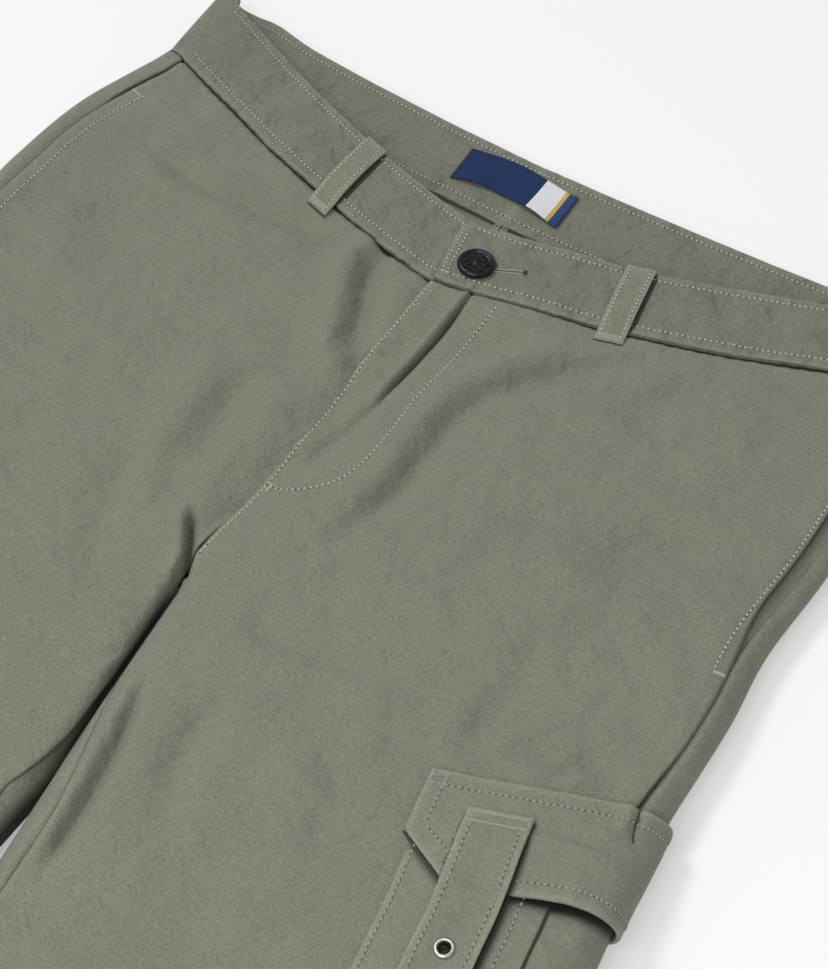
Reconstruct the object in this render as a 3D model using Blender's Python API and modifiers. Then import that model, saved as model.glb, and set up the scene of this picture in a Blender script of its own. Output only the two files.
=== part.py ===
"""Cargo pants laid flat, front up, with the waist open and the legs a little apart.

Everything is in metres. +X is the wearer's left, +Y is up the garment to the waist and
+Z is up from the surface. The garment is drafted around the point where the fly meets
the waist seam, and the finished model is moved so that the origin is under its middle.

Each half of the garment is a tube of cloth. A section of that tube is a flat top, a
flat underside, and a rolled edge on its outer side and, below the crotch, on its
inner side. The panels, pockets, flaps and facings are all strips of the same sections.
"""
import math
from types import SimpleNamespace

import bmesh
import bpy
from mathutils import Matrix, Vector

OBJECT_NAME = "cargo_pants"

# Cloth and seams
WALL = 0.0012            # one layer of twill
BAND_WALL = 0.0024       # a waistband is two layers
LOOP_WALL = 0.0016       # a belt loop or strap is a folded strip
SEAM = 0.0003            # gap between neighbours
LEFT, RIGHT = 1, -1

# Shape of a section
EDGE_ROLL = 0.016        # how far the rolled outer edge reaches over the top
INNER_ROLL = 0.014       # the same, between the legs
EDGE_LEVEL = 0.42        # height of the outermost line, as a share of the thickness
BOW = 1.3                # how a cross line bends up from the centre to the side
OUTER_FRONT = (1.0, 0.83, 0.67)
OUTER_BACK = (-1.0, -0.75, -0.5, -0.25, 0.0, 0.22, 0.44, 0.67)

# Waistband, belt loops, fly and button
BAND_HEIGHT = 0.040
BAND_SEAM = 0.0005           # gap between the band and the panels
BAND_SIDE_STRETCH = {1: 0.078, -1: 0.24}    # the band's outer ends are folded across its slope
BAND_FLARE = 0.025           # how far its top edge reaches past its seam, by width
BAND_DROOP = 0.001           # how far the top edge of the front sinks at the centre
BAND_BACK_RISE = 0.004       # how far the top edge of the back stands up
BAND_END_LEAN = 0.0065       # how far the left end leans over to the right
BAND_END_DROP = 0.005        # how much lower its upper corner is than the right end
BAND_LAP = 0.022             # how far the right end runs on under the left end
BAND_BACK_LIFT = 0.0030      # room for the belt loops under the back
LOOP_WIDTH = 0.013
LOOP_BELOW = 0.010           # how far a loop reaches below the waist seam
LOOP_ARCH = 0.0014
FLY_LENGTH = 0.138
FLY_WIDTH = 0.036
BUTTON_RADIUS = 0.009
BUTTON_X = 0.009
BUTTON_RISE = 0.40           # as a share of the band's height
SHANK_RADIUS = 0.0026

# Pockets
SIDE_POCKET = (0.030, -0.115)     # outer_y of the top and the bottom of the opening
CARGO_TOP = -0.184                # outer_y of the seam of the flap
FLAP_HEIGHT = 0.047
FLAP_CORNER = 0.020               # size of the cut corners
FLAP_FRONT, FLAP_BACK = 0.092, -0.066     # girth from the outermost line
POCKET_HEIGHT = 0.184
POCKET_FRONT, POCKET_BACK = 0.089, -0.063
POCKET_PUFF = 0.0030
PLEAT_FRONT, PLEAT_BACK = 0.036, -0.012
PLEAT_DEPTH = 0.0012
STRAP_GIRTH = 0.0618
STRAP_WIDTH = 0.0235
STRAP_TOP, STRAP_END = 0.0155, 0.094
EYELET_DROP = 0.071
EYELET_RADIUS, EYELET_HOLE = 0.0042, 0.0024
FLAP_CLEAR = 0.0005               # the flap lies this much more above the pocket
POCKET_LIFT = 0.0035              # room for the rear half of the pocket under the leg
POCKET_LIFT_EDGE = 0.060          # where that room ends, in from the rolled edge

LABEL_SIZE = (0.060, 0.021)
LABEL_X = -0.007

# One row for each section of a half garment, from the waist seam to the hem. front_y and
# back_y are the places of its inner end on the two layers, left_x and right_x are the
# innermost lines of the two legs, outer_x and outer_y the place of the outermost line,
# height the thickness, fly_x the shift of the front seam to the wearer's right, groove
# how far the inner end has closed, and inseam how far the inner seam lies over the top.
SECTION_COLUMNS = (
    "front_y", "back_y", "left_x", "right_x", "outer_x", "outer_y",
    "height", "fly_x", "groove", "inseam")
SECTIONS = (
    (0.000, 0.057, 0.0002, 0.0002, 0.2040, 0.063, 0.0155, 0.0030, 0.00, 0.0000),
    (-0.050, -0.002, 0.0002, 0.0002, 0.2185, 0.010, 0.0180, 0.0024, 0.00, 0.0000),
    (-0.100, -0.070, 0.0002, 0.0002, 0.2205, -0.041, 0.0200, 0.0008, 0.00, 0.0000),
    (-0.155, -0.143, 0.0003, 0.0003, 0.2165, -0.092, 0.0215, 0.0000, 0.00, 0.0000),
    (-0.196, -0.196, 0.0012, 0.0012, 0.2170, -0.130, 0.0225, 0.0000, 1.00, 0.0000),
    (-0.250, -0.250, 0.0058, -0.0020, 0.2210, -0.182, 0.0230, 0.0000, 1.00, 0.0020),
    (-0.310, -0.310, 0.0140, -0.0095, 0.2310, -0.245, 0.0235, 0.0000, 1.00, 0.0120),
    (-0.420, -0.420, 0.0400, 0.0100, 0.2480, -0.370, 0.0235, 0.0000, 1.00, 0.0090),
    (-0.600, -0.600, 0.0680, 0.0560, 0.2710, -0.562, 0.0215, 0.0000, 1.00, 0.0090),
    (-0.790, -0.790, 0.0950, 0.0900, 0.2900, -0.757, 0.0195, 0.0000, 1.00, 0.0090),
    (-0.980, -0.980, 0.1220, 0.1220, 0.3070, -0.953, 0.0180, 0.0000, 1.00, 0.0090),
)
ROWS_IN_SPAN = (3, 3, 3, 3, 3, 3, 3, 2, 2, 2)

# The largest folds of the front, as troughs between two points of the laid garment.
FOLD_COLUMNS = ("x0", "y0", "x1", "y1", "width", "depth")
FOLDS = (
    (-0.040, -0.002, -0.008, -0.088, 0.013, 0.0022),
    (0.100, 0.000, 0.052, -0.075, 0.014, 0.0022),
    (0.052, -0.075, 0.042, -0.150, 0.013, 0.0018),
    (0.137, -0.147, 0.142, -0.202, 0.016, 0.0022),
    (0.024, -0.225, 0.043, -0.330, 0.012, 0.0026),
    (-0.166, -0.014, -0.071, -0.013, 0.016, 0.0018),
    (-0.040, -0.230, -0.060, -0.320, 0.014, 0.0024),
    (0.110, -0.540, 0.190, -0.580, 0.022, 0.0030),
    (-0.120, -0.560, -0.200, -0.600, 0.022, 0.0030),
)

# Colours, then roughness and metallic values
FINISHES = {
    "twill": ((0.190, 0.200, 0.152), 0.90, 0.0),
    "twill_inside": ((0.170, 0.180, 0.136), 0.92, 0.0),
    "gunmetal": ((0.020, 0.021, 0.022), 0.42, 0.9),
    "nickel": ((0.62, 0.62, 0.60), 0.28, 1.0),
    "zip_tape": ((0.150, 0.158, 0.120), 0.80, 0.0),
    "woven_label": ((0.020, 0.045, 0.130), 0.70, 0.0),
}


def clear_scene():
    for old in list(bpy.data.objects):
        bpy.data.objects.remove(old, do_unlink=True)


def finish(name):
    """A material with its colour, roughness and metallic value."""
    if name in bpy.data.materials:
        return bpy.data.materials[name]
    colour, roughness, metallic = FINISHES[name]
    made = bpy.data.materials.new(name)
    made.use_nodes = True
    shader = made.node_tree.nodes["Principled BSDF"]
    shader.inputs["Base Color"].default_value = (*colour, 1.0)
    shader.inputs["Roughness"].default_value = roughness
    shader.inputs["Metallic"].default_value = metallic
    return made


def smooth_step(low, high, value):
    share = min(max((value - low) / (high - low), 0.0), 1.0)
    return share * share * (3 - 2 * share)


# ---------------------------------------------------------------- sections

def section_at(place):
    """The section at a place counted in rows of the table, on a smooth curve through them."""
    last = len(SECTIONS) - 1
    start = min(int(place), last - 1)
    t = place - start
    before = SECTIONS[max(start - 1, 0)]
    first = SECTIONS[start]
    second = SECTIONS[start + 1]
    after = SECTIONS[min(start + 2, last)]
    values = {}
    for index, column in enumerate(SECTION_COLUMNS):
        a, b, c, d = before[index], first[index], second[index], after[index]
        values[column] = 0.5 * (
            2 * b + (c - a) * t + (2 * a - 5 * b + 4 * c - d) * t ** 2
            + (3 * b - a - 3 * c + d) * t ** 3)
    for column in ("groove", "inseam", "fly_x"):
        index = SECTION_COLUMNS.index(column)
        values[column] = first[index] + (second[index] - first[index]) * t
    section = SimpleNamespace(**values)
    section.low = section.height * EDGE_LEVEL
    return section


def section_by_side(outer_y):
    """The section whose outermost line is at outer_y."""
    near, far = 0.0, len(SECTIONS) - 1.0
    for _ in range(30):
        middle = (near + far) / 2
        if section_at(middle).outer_y > outer_y:
            near = middle
        else:
            far = middle
    return section_at(near)


def section_by_front(front_y):
    """The section whose front inner end is at front_y."""
    near, far = 0.0, len(SECTIONS) - 1.0
    for _ in range(30):
        middle = (near + far) / 2
        if section_at(middle).front_y > front_y:
            near = middle
        else:
            far = middle
    return section_at(near)


def panel_sections():
    places = [0.0]
    for span, count in enumerate(ROWS_IN_SPAN):
        places += [span + step / count for step in range(1, count + 1)]
    return [section_at(place) for place in places]


def inner_x(section, side):
    return section.left_x if side == LEFT else section.right_x


def front_inner_x(section, side):
    return inner_x(section, side) - side * section.fly_x


def cross_y(section, side, x, front):
    """Where the cross line of a section runs, at x on the front or the back layer."""
    start = section.front_y if front else section.back_y
    inner = inner_x(section, side)
    share = abs(x - inner) / (section.outer_x - inner)
    return start + (section.outer_y - start) * share ** BOW


def fold_depth(x, y):
    """How far the folds sink the front at a point of the laid garment."""
    total = 0.0
    for row in FOLDS:
        fold = SimpleNamespace(**dict(zip(FOLD_COLUMNS, row)))
        start = Vector((fold.x0, fold.y0))
        run = Vector((fold.x1, fold.y1)) - start
        along = (Vector((x, y)) - start).dot(run) / run.length_squared
        nearest = start + run * min(max(along, 0.0), 1.0)
        away = (Vector((x, y)) - nearest).length
        total += fold.depth * math.exp(-(away / fold.width) ** 2)
    return total


def underside_lift(section, x):
    """Room under the laid garment for belt loops and for the rear of the cargo pocket."""
    waist = SECTIONS[0][SECTION_COLUMNS.index("back_y")]
    band = BAND_BACK_LIFT * (1 - smooth_step(0.0, 0.04, waist - section.back_y))
    full = section.outer_x - EDGE_ROLL - POCKET_LIFT_EDGE
    across = smooth_step(full - 0.030, full, x)
    end = CARGO_TOP - POCKET_HEIGHT
    above = 1 - smooth_step(CARGO_TOP + 0.002, CARGO_TOP + 0.028, section.outer_y)
    below = smooth_step(end - 0.040, end - 0.002, section.outer_y)
    return band + POCKET_LIFT * across * above * below


def settle(section, side, x, y, z):
    """Put a point of a section in place: folds on the top, room under the bottom."""
    low_share = 1 - min(max(z / section.height, 0.0), 1.0)
    height = WALL / 2 + z + underside_lift(section, x) * low_share
    height -= fold_depth(side * x, y) * smooth_step(section.low, section.height, z)
    return Vector((side * x, y, height))


def outer_point(section, side, wrap, out=0.0):
    """A point on the outer part of a section, moved out from the cloth by out.

    wrap is 0 on the outermost line, 1 where the flat top begins and -1 where the flat
    underside begins. Past these it goes on inwards, one edge roll for each unit.
    """
    angle = math.radians(90 * min(max(wrap, -1.0), 1.0))
    flat = max(abs(wrap) - 1, 0.0) * EDGE_ROLL
    rise = section.height - section.low if wrap > 0 else section.low
    x = section.outer_x - EDGE_ROLL * (1 - math.cos(angle)) - flat
    z = section.low + rise * math.sin(angle)
    y = cross_y(section, side, x, wrap >= 0)
    point = settle(section, side, x, y, z)
    normal = Vector((side * rise * math.cos(angle), 0, EDGE_ROLL * math.sin(angle)))
    return point + normal.normalized() * out


def wrap_of(section, girth):
    """The wrap of a place that lies girth away from the outermost line along the cloth."""
    rise = section.height - section.low if girth > 0 else section.low
    quarter = math.pi / 4 * (1.5 * (EDGE_ROLL + rise) - math.sqrt(EDGE_ROLL * rise))
    if abs(girth) <= quarter:
        return girth / quarter
    return math.copysign(1 + (abs(girth) - quarter) / EDGE_ROLL, girth)


def inner_point(section, side, angle, front):
    """A point on the inner roll, where angle 0 is its innermost line."""
    low = section.low
    top = section.height - section.groove * (section.height - low)
    start_x = front_inner_x(section, side) if front else inner_x(section, side)
    x = start_x + INNER_ROLL * (1 - math.cos(angle))
    if front or angle > 0:
        z = top + (section.height - top) * math.sin(angle)
    else:
        z = section.groove * low * (1 + math.sin(angle))
    y = cross_y(section, side, x, front)
    return settle(section, side, x, y, z)


def inseam_angle(section):
    return math.acos(1 - section.inseam / INNER_ROLL)


def top_point(section, side, x, out=0.0):
    """A point of the flat top, moved out from the cloth."""
    y = cross_y(section, side, x, True)
    return settle(section, side, x, y, section.height) + Vector((0, 0, out))


def front_row(section, side):
    gap = SEAM / INNER_ROLL
    start = inseam_angle(section) + gap * section.groove
    angles = [start + (math.pi / 2 - start) * step / 3 for step in range(3)]
    row = [inner_point(section, side, angle, True) for angle in angles]
    begin = front_inner_x(section, side) + INNER_ROLL
    end = section.outer_x - EDGE_ROLL
    for step in range(6):
        row.append(top_point(section, side, begin + (end - begin) * step / 6))
    wraps = list(OUTER_FRONT)
    wraps[-1] += SEAM / 2 / EDGE_ROLL
    return row + [outer_point(section, side, wrap) for wrap in wraps]


def back_row(section, side):
    gap = SEAM / INNER_ROLL
    start = inseam_angle(section) - gap * section.groove
    angles = [start - (math.pi / 2 + start) * step / 4 for step in range(4)]
    row = [inner_point(section, side, angle, False) for angle in angles]
    begin = inner_x(section, side) + INNER_ROLL
    end = section.outer_x - EDGE_ROLL
    clear = end - POCKET_LIFT_EDGE
    for x in (begin, (begin + clear - 0.03) / 2, clear - 0.03, clear, (clear + end) / 2):
        y = cross_y(section, side, x, False)
        row.append(settle(section, side, x, y, 0.0))
    wraps = list(OUTER_BACK)
    wraps[-1] -= SEAM / 2 / EDGE_ROLL
    return row + [outer_point(section, side, wrap) for wrap in wraps]


# ---------------------------------------------------------------- making solids

def add_mesh(name, shape, material, collection):
    mesh = bpy.data.meshes.new(name)
    shape.to_mesh(mesh)
    shape.free()
    mesh.materials.append(finish(material))
    made = bpy.data.objects.new(name, mesh)
    collection.objects.link(made)
    return made


def cloth(name, rows, wall, material, collection):
    """A wall of cloth whose middle surface runs through rows of points."""
    shape = bmesh.new()
    grid = [[shape.verts.new(point) for point in row] for row in rows]
    for upper, lower in zip(grid, grid[1:]):
        for index in range(len(upper) - 1):
            shape.faces.new((upper[index], lower[index], lower[index + 1], upper[index + 1]))
    bmesh.ops.recalc_face_normals(shape, faces=shape.faces)
    made = add_mesh(name, shape, material, collection)
    solid = made.modifiers.new("wall", "SOLIDIFY")
    solid.thickness = wall
    solid.offset = 0.0
    solid.use_even_offset = True
    return made


def turned(name, profile, material, collection):
    """A solid turned round Z from (radius, height) pairs that run down its outer side."""
    shape = bmesh.new()
    points = [shape.verts.new((radius, 0, height)) for radius, height in profile]
    for first, second in zip(points, points[1:]):
        shape.edges.new((first, second))
    made = add_mesh(name, shape, material, collection)
    screw = made.modifiers.new("turn", "SCREW")
    screw.steps = 16
    screw.render_steps = 16
    screw.use_merge_vertices = True
    screw.merge_threshold = 0.00001
    return made


def cut_round(target, radius, place, turn, cutters):
    """Cut a round hole through a piece of cloth."""
    shape = bmesh.new()
    bmesh.ops.create_cone(
        shape, cap_ends=True, segments=12, radius1=radius, radius2=radius, depth=0.012)
    mesh = bpy.data.meshes.new(target.name + "_cutter")
    shape.to_mesh(mesh)
    shape.free()
    cutter = bpy.data.objects.new(target.name + "_cutter", mesh)
    cutters.objects.link(cutter)
    cutter.location = place
    cutter.rotation_euler = turn.to_euler()
    cutter.hide_render = True
    cutter.display_type = "WIRE"
    hole = target.modifiers.new("hole", "BOOLEAN")
    hole.operation = "DIFFERENCE"
    hole.object = cutter


# ---------------------------------------------------------------- waistband

def band_lift(side, x, rise, front):
    """How far the band has moved up from the waist seam."""
    waist = section_at(0.0)
    share = min(abs(x) / waist.outer_x, 1.0)
    if not front:
        return BAND_BACK_RISE * rise * (1 - smooth_step(0.80, 0.92, share))
    lap = 0.0
    if side == LEFT:
        lap = (BAND_WALL + SEAM) * (1 - smooth_step(BAND_LAP * 1.9, BAND_LAP * 3.4, x))
    return lap - BAND_DROOP * rise * (1 - smooth_step(0.45, 0.95, share))


def band_over(side, seam_point, rise, front):
    """The point of the band over a point of the waist seam, rise from 0 to 1."""
    waist = section_at(0.0)
    x = side * seam_point.x
    share = min(abs(x) / waist.outer_x, 1.0)
    stretch = 1 + BAND_SIDE_STRETCH[side] * share ** 2
    y = seam_point.y + BAND_SEAM + rise * BAND_HEIGHT * stretch
    z = seam_point.z + band_lift(side, x, rise, front)
    return Vector((seam_point.x * (1 + BAND_FLARE * rise), y, z))


def band_point(side, x, rise, front, out=0.0):
    """A point of the waistband at x along the flat part of the waist seam."""
    waist = section_at(0.0)
    height = waist.height if front else 0.0
    seam_point = settle(waist, side, x, cross_y(waist, side, x, front), height)
    return band_over(side, seam_point, rise, front) + Vector((0, 0, out))


def waistband(side, collection):
    waist = section_at(0.0)
    front = front_row(waist, side)
    back = back_row(waist, side)
    if side == RIGHT:
        lap = front_row(waist, LEFT)[:4]
        lap.append(top_point(waist, LEFT, BAND_LAP))
        lap = [point + Vector((0, 3 * SEAM, 0)) for point in lap]
        front = lap[::-1] + front
    rows = []
    for step in range(3):
        rise = step / 2
        row = [band_over(side, point, rise, True) for point in front[:-1]]
        row += [band_over(side, point, rise, False) for point in reversed(back)]
        if side == LEFT:
            row[0].x -= BAND_END_LEAN * rise
            for index in range(3):
                row[index].y -= BAND_END_DROP * rise * (1 - index / 3)
        rows.append(row)
    name = "waistband_left" if side == LEFT else "waistband_right"
    return cloth(name, rows, BAND_WALL, "twill", collection)


def front_loop(name, side, x, lean, collection):
    """A belt loop sewn over the front of the waistband, from below the seam to its top."""
    clear = (BAND_WALL + LOOP_WALL) / 2 + SEAM * 1.5
    rows = []
    for step in range(7):
        share = step / 6
        rise = -LOOP_BELOW / BAND_HEIGHT + share * (1.02 + LOOP_BELOW / BAND_HEIGHT)
        arch = LOOP_ARCH * math.sin(math.pi * share)
        row = []
        for across in (-0.5, 0.0, 0.5):
            place = x + lean * rise * BAND_HEIGHT + across * LOOP_WIDTH
            row.append(band_point(side, place, rise, True, clear + arch))
        rows.append(row)
    return cloth(name, rows, LOOP_WALL, "twill", collection)


def back_loop(name, x, collection):
    """A belt loop under the back of the waistband."""
    clear = (BAND_WALL + LOOP_WALL) / 2 + SEAM
    side = LEFT if x >= 0 else RIGHT
    rows = []
    for step in range(5):
        rise = -0.10 + 1.10 * step / 4
        row = []
        for across in (-0.5, 0.0, 0.5):
            point = band_point(side, abs(x), rise, False)
            row.append(Vector((x + across * LOOP_WIDTH, point.y, point.z - clear)))
        rows.append(row)
    return cloth(name, rows, LOOP_WALL, "twill", collection)


def fly(collection):
    """The zip and the fly shield, two strips under the front."""
    pieces = (
        ("zip", -0.010, 0.018, FLY_LENGTH - 0.012, 1, "zip_tape"),
        ("fly_shield", -0.012, FLY_WIDTH - 0.012, FLY_LENGTH, 2, "twill_inside"),
    )
    for name, start, end, length, layer, material in pieces:
        rows = []
        for step in range(6):
            section = section_by_front(-0.003 - length * step / 5)
            down = -layer * (WALL + SEAM * 2.0)
            row = []
            for column in range(4):
                x = start + (end - start) * column / 3
                row.append(top_point(section, LEFT, x, down))
            rows.append(row)
        cloth(name, rows, WALL, material, collection)


def facing(name, side, layer, collection):
    """The strip of cloth that shows inside the opening of a side pocket."""
    top, bottom = SIDE_POCKET
    rows = []
    for step in range(6):
        section = section_by_side(top + (bottom - top) * step / 5)
        row = []
        for wrap in (2.6, 1.8, 1.0, 0.83, 0.67, 0.44, 0.22, 0.0):
            row.append(outer_point(section, side, wrap, -layer * (WALL + SEAM * 3)))
        rows.append(row)
    cloth(name, rows, WALL, "twill", collection)


def button(band, collection, cutters):
    """A shank button through the left end of the waistband."""
    place = band_point(LEFT, BUTTON_X, BUTTON_RISE, True)
    ahead = band_point(LEFT, BUTTON_X, BUTTON_RISE + 0.1, True) - place
    across = band_point(LEFT, BUTTON_X + 0.002, BUTTON_RISE, True) - place
    up = across.cross(ahead).normalized()
    turn = Vector((0, 0, 1)).rotation_difference(up).to_matrix().to_4x4()
    under = BAND_WALL / 2 + 0.0005
    shoulder = under + 0.0009
    profile = (
        (0.0, shoulder + 0.0020),
        (BUTTON_RADIUS * 0.66, shoulder + 0.0018),
        (BUTTON_RADIUS * 0.74, shoulder + 0.0026),
        (BUTTON_RADIUS * 0.90, shoulder + 0.0025),
        (BUTTON_RADIUS, shoulder + 0.0015),
        (BUTTON_RADIUS * 0.97, shoulder),
        (SHANK_RADIUS * 1.5, shoulder - 0.0004),
        (SHANK_RADIUS, under),
        (SHANK_RADIUS, -BAND_WALL / 2),
        (0.0, -BAND_WALL / 2),
    )
    made = turned("button", profile, "gunmetal", collection)
    made.matrix_world = Matrix.Translation(place) @ turn
    cut_round(band, SHANK_RADIUS + SEAM, place, turn, cutters)


def label(collection):
    """A woven label on the inside of the back of the waistband."""
    rows = []
    for step in range(4):
        row = []
        for column in range(5):
            x = LABEL_X + LABEL_SIZE[0] * (column / 4 - 0.5)
            side = LEFT if x >= 0 else RIGHT
            rise = 0.52 + (step / 3 - 0.5) * LABEL_SIZE[1] / BAND_HEIGHT
            row.append(band_point(side, abs(x), rise, False, (BAND_WALL + WALL) / 2 + 2 * SEAM))
        rows.append(row)
    cloth("label", rows, WALL, "woven_label", collection)


# ---------------------------------------------------------------- cargo pockets

def wraps_between(section, front, back):
    """Columns of a piece wrapped round the outer edge, from its front to its back edge."""
    first = wrap_of(section, front)
    last = wrap_of(section, back)
    edge = list(OUTER_FRONT) + sorted(OUTER_BACK[:-1], reverse=True)
    before = [first + (1 - first) * step / 5 for step in range(5)]
    after = [-1 + (last + 1) * step / 3 for step in range(1, 4)]
    return before + edge + after


def puff(wrap, first, last, drop):
    """The rounding of a bellows pocket, which is nothing at its sewn edges."""
    across = smooth_step(first, first - 1.2, wrap) * smooth_step(last, last + 1.0, wrap)
    down = smooth_step(0.0, 0.03, drop) * smooth_step(POCKET_HEIGHT, POCKET_HEIGHT - 0.03, drop)
    return POCKET_PUFF * across * down


def cargo_body(side, collection):
    rows = []
    for step in range(8):
        drop = 0.008 + (POCKET_HEIGHT - 0.008) * step / 7
        section = section_by_side(CARGO_TOP - drop)
        wraps = wraps_between(section, POCKET_FRONT, POCKET_BACK)
        pleat_front = wrap_of(section, PLEAT_FRONT)
        pleat_back = wrap_of(section, PLEAT_BACK)
        row = []
        for wrap in wraps:
            out = WALL + SEAM + puff(wrap, wraps[0], wraps[-1], drop) * (wrap > -0.6)
            if pleat_back < wrap < pleat_front:
                out -= PLEAT_DEPTH * (out > WALL + SEAM + PLEAT_DEPTH)
            row.append(outer_point(section, side, wrap, out))
        rows.append(row)
    name = "cargo_pocket_left" if side == LEFT else "cargo_pocket_right"
    cloth(name, rows, WALL, "twill", collection)


def flap_out(wrap, first, last, drop):
    return 2 * (WALL + SEAM) + FLAP_CLEAR + puff(wrap, first, last, drop) * (wrap > -0.6)


def cargo_flap(side, collection):
    """The flap, whose two lower corners are cut off."""
    rows = []
    for step in range(5):
        drop = FLAP_HEIGHT * step / 4
        cut = max(drop - (FLAP_HEIGHT - FLAP_CORNER), 0.0)
        section = section_by_side(CARGO_TOP - drop)
        wraps = wraps_between(section, FLAP_FRONT - cut, FLAP_BACK + cut)
        full = wraps_between(section, FLAP_FRONT, FLAP_BACK)
        row = []
        for wrap in wraps:
            out = flap_out(wrap, full[0], full[-1], drop)
            row.append(outer_point(section, side, wrap, out))
        rows.append(row)
    name = "cargo_flap_left" if side == LEFT else "cargo_flap_right"
    cloth(name, rows, WALL, "twill", collection)


def strap_point(side, drop, across, out=0.0):
    section = section_by_side(CARGO_TOP - drop)
    full = wraps_between(section, FLAP_FRONT, FLAP_BACK)
    wrap = wrap_of(section, STRAP_GIRTH + across)
    base = flap_out(wrap, full[0], full[-1], drop) + WALL / 2 + LOOP_WALL / 2 + SEAM * 2
    return outer_point(section, side, wrap, base + out)


def cargo_strap(side, collection, cutters):
    """The strap over the flap, with an eyelet near its end."""
    rows = []
    for step in range(7):
        drop = STRAP_TOP + (STRAP_END - STRAP_TOP) * step / 6
        row = [strap_point(side, drop, STRAP_WIDTH * share) for share in (0.5, 0.17, -0.17, -0.5)]
        rows.append(row)
    suffix = "left" if side == LEFT else "right"
    strap = cloth("cargo_strap_" + suffix, rows, LOOP_WALL, "twill", collection)
    place = strap_point(side, EYELET_DROP, 0.0)
    ahead = strap_point(side, EYELET_DROP - 0.004, 0.0) - place
    across = strap_point(side, EYELET_DROP, -side * 0.004) - place
    up = across.cross(ahead).normalized()
    turn = Vector((0, 0, 1)).rotation_difference(up).to_matrix().to_4x4()
    face = LOOP_WALL / 2 + SEAM
    profile = (
        (EYELET_HOLE, face + 0.0006),
        (EYELET_HOLE + 0.0007, face + 0.0011),
        (EYELET_RADIUS - 0.0004, face + 0.0008),
        (EYELET_RADIUS, face + 0.0002),
        (EYELET_RADIUS - 0.0002, face),
        (EYELET_HOLE + 0.0006, face),
        (EYELET_HOLE + 0.0006, -LOOP_WALL / 2),
        (EYELET_HOLE, -LOOP_WALL / 2),
        (EYELET_HOLE, face + 0.0006),
    )
    made = turned("eyelet_" + suffix, profile, "nickel", collection)
    made.matrix_world = Matrix.Translation(place) @ turn
    cut_round(strap, EYELET_HOLE + 0.0006 + SEAM, place, turn, cutters)


# ---------------------------------------------------------------- the garment

def centre_model(collection):
    """Move the pieces so that the origin is on the surface, under the middle of the box."""
    bpy.context.view_layer.update()
    graph = bpy.context.evaluated_depsgraph_get()
    corners = []
    for piece in collection.objects:
        solid = piece.evaluated_get(graph)
        mesh = solid.to_mesh()
        corners += [solid.matrix_world @ vertex.co for vertex in mesh.vertices]
        solid.to_mesh_clear()
    low = [min(corner[axis] for corner in corners) for axis in range(3)]
    high = [max(corner[axis] for corner in corners) for axis in range(3)]
    return Vector(((low[0] + high[0]) / 2, (low[1] + high[1]) / 2, low[2]))


def main():
    clear_scene()
    collection = bpy.data.collections.new(OBJECT_NAME)
    cutters = bpy.data.collections.new("cutters")
    bpy.context.scene.collection.children.link(collection)
    bpy.context.scene.collection.children.link(cutters)
    sections = panel_sections()
    for side, suffix in ((LEFT, "left"), (RIGHT, "right")):
        fronts = [front_row(section, side) for section in sections]
        backs = [back_row(section, side) for section in sections]
        cloth("front_" + suffix, fronts, WALL, "twill", collection)
        cloth("back_" + suffix, backs, WALL, "twill", collection)
        facing("side_pocket_" + suffix, side, 1, collection)
        cargo_body(side, collection)
        cargo_flap(side, collection)
        cargo_strap(side, collection, cutters)
        waistband(side, collection)
    front_loop("belt_loop_front_left", LEFT, 0.082, -0.22, collection)
    front_loop("belt_loop_front_right", RIGHT, 0.074, -0.06, collection)
    for name, x in (("left", 0.110), ("centre", 0.0), ("right", -0.110)):
        back_loop("belt_loop_back_" + name, x, collection)
    fly(collection)
    label(collection)
    button(bpy.data.objects["waistband_left"], collection, cutters)
    shift = centre_model(collection)
    for piece in list(collection.objects) + list(cutters.objects):
        piece.location -= shift


main()
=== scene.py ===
# %% [markdown]
# # Cargo pants, laid flat
#
# This file dresses a measured model of a pair of cargo pants. The measured model is a set
# of plain solids, one for each piece that a maker cuts and sews on. Here each piece of
# cloth is made again as a thin, finely divided shell with its creases, edges and stitches.
#
# Lengths are in metres. +X is the wearer's left, +Y runs up the garment to the waist and
# +Z is up from the surface that it lies on.

# %% Load the measured model
import functools
import math
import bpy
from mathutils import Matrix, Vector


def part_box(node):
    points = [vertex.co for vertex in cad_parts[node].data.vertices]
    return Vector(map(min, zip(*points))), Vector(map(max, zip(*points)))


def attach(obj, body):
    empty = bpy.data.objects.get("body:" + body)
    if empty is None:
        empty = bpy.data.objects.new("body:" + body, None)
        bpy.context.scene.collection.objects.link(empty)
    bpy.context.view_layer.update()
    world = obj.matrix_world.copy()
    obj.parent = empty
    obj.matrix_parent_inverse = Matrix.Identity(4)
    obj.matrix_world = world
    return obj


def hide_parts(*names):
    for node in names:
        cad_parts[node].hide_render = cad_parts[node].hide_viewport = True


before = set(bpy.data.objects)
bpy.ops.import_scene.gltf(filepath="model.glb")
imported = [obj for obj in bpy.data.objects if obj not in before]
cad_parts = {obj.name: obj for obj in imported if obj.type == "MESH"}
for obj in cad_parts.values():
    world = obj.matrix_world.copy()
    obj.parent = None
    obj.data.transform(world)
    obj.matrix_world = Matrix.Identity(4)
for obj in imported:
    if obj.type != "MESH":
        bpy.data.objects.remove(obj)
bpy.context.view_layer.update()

from types import SimpleNamespace

import bmesh
import bpy
import numpy as np
from mathutils import Matrix, Vector
from mathutils.bvhtree import BVHTree

print("measured model:", len(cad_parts), "pieces")

# %% [markdown]
# ## Where the garment lies
#
# A pattern cutter measures trousers from the point where the fly meets the waist seam, so
# every place below is counted from there. The hem's place on that drawing is known, and
# the measured model says where its hem is, so one shift joins the two.

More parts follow.
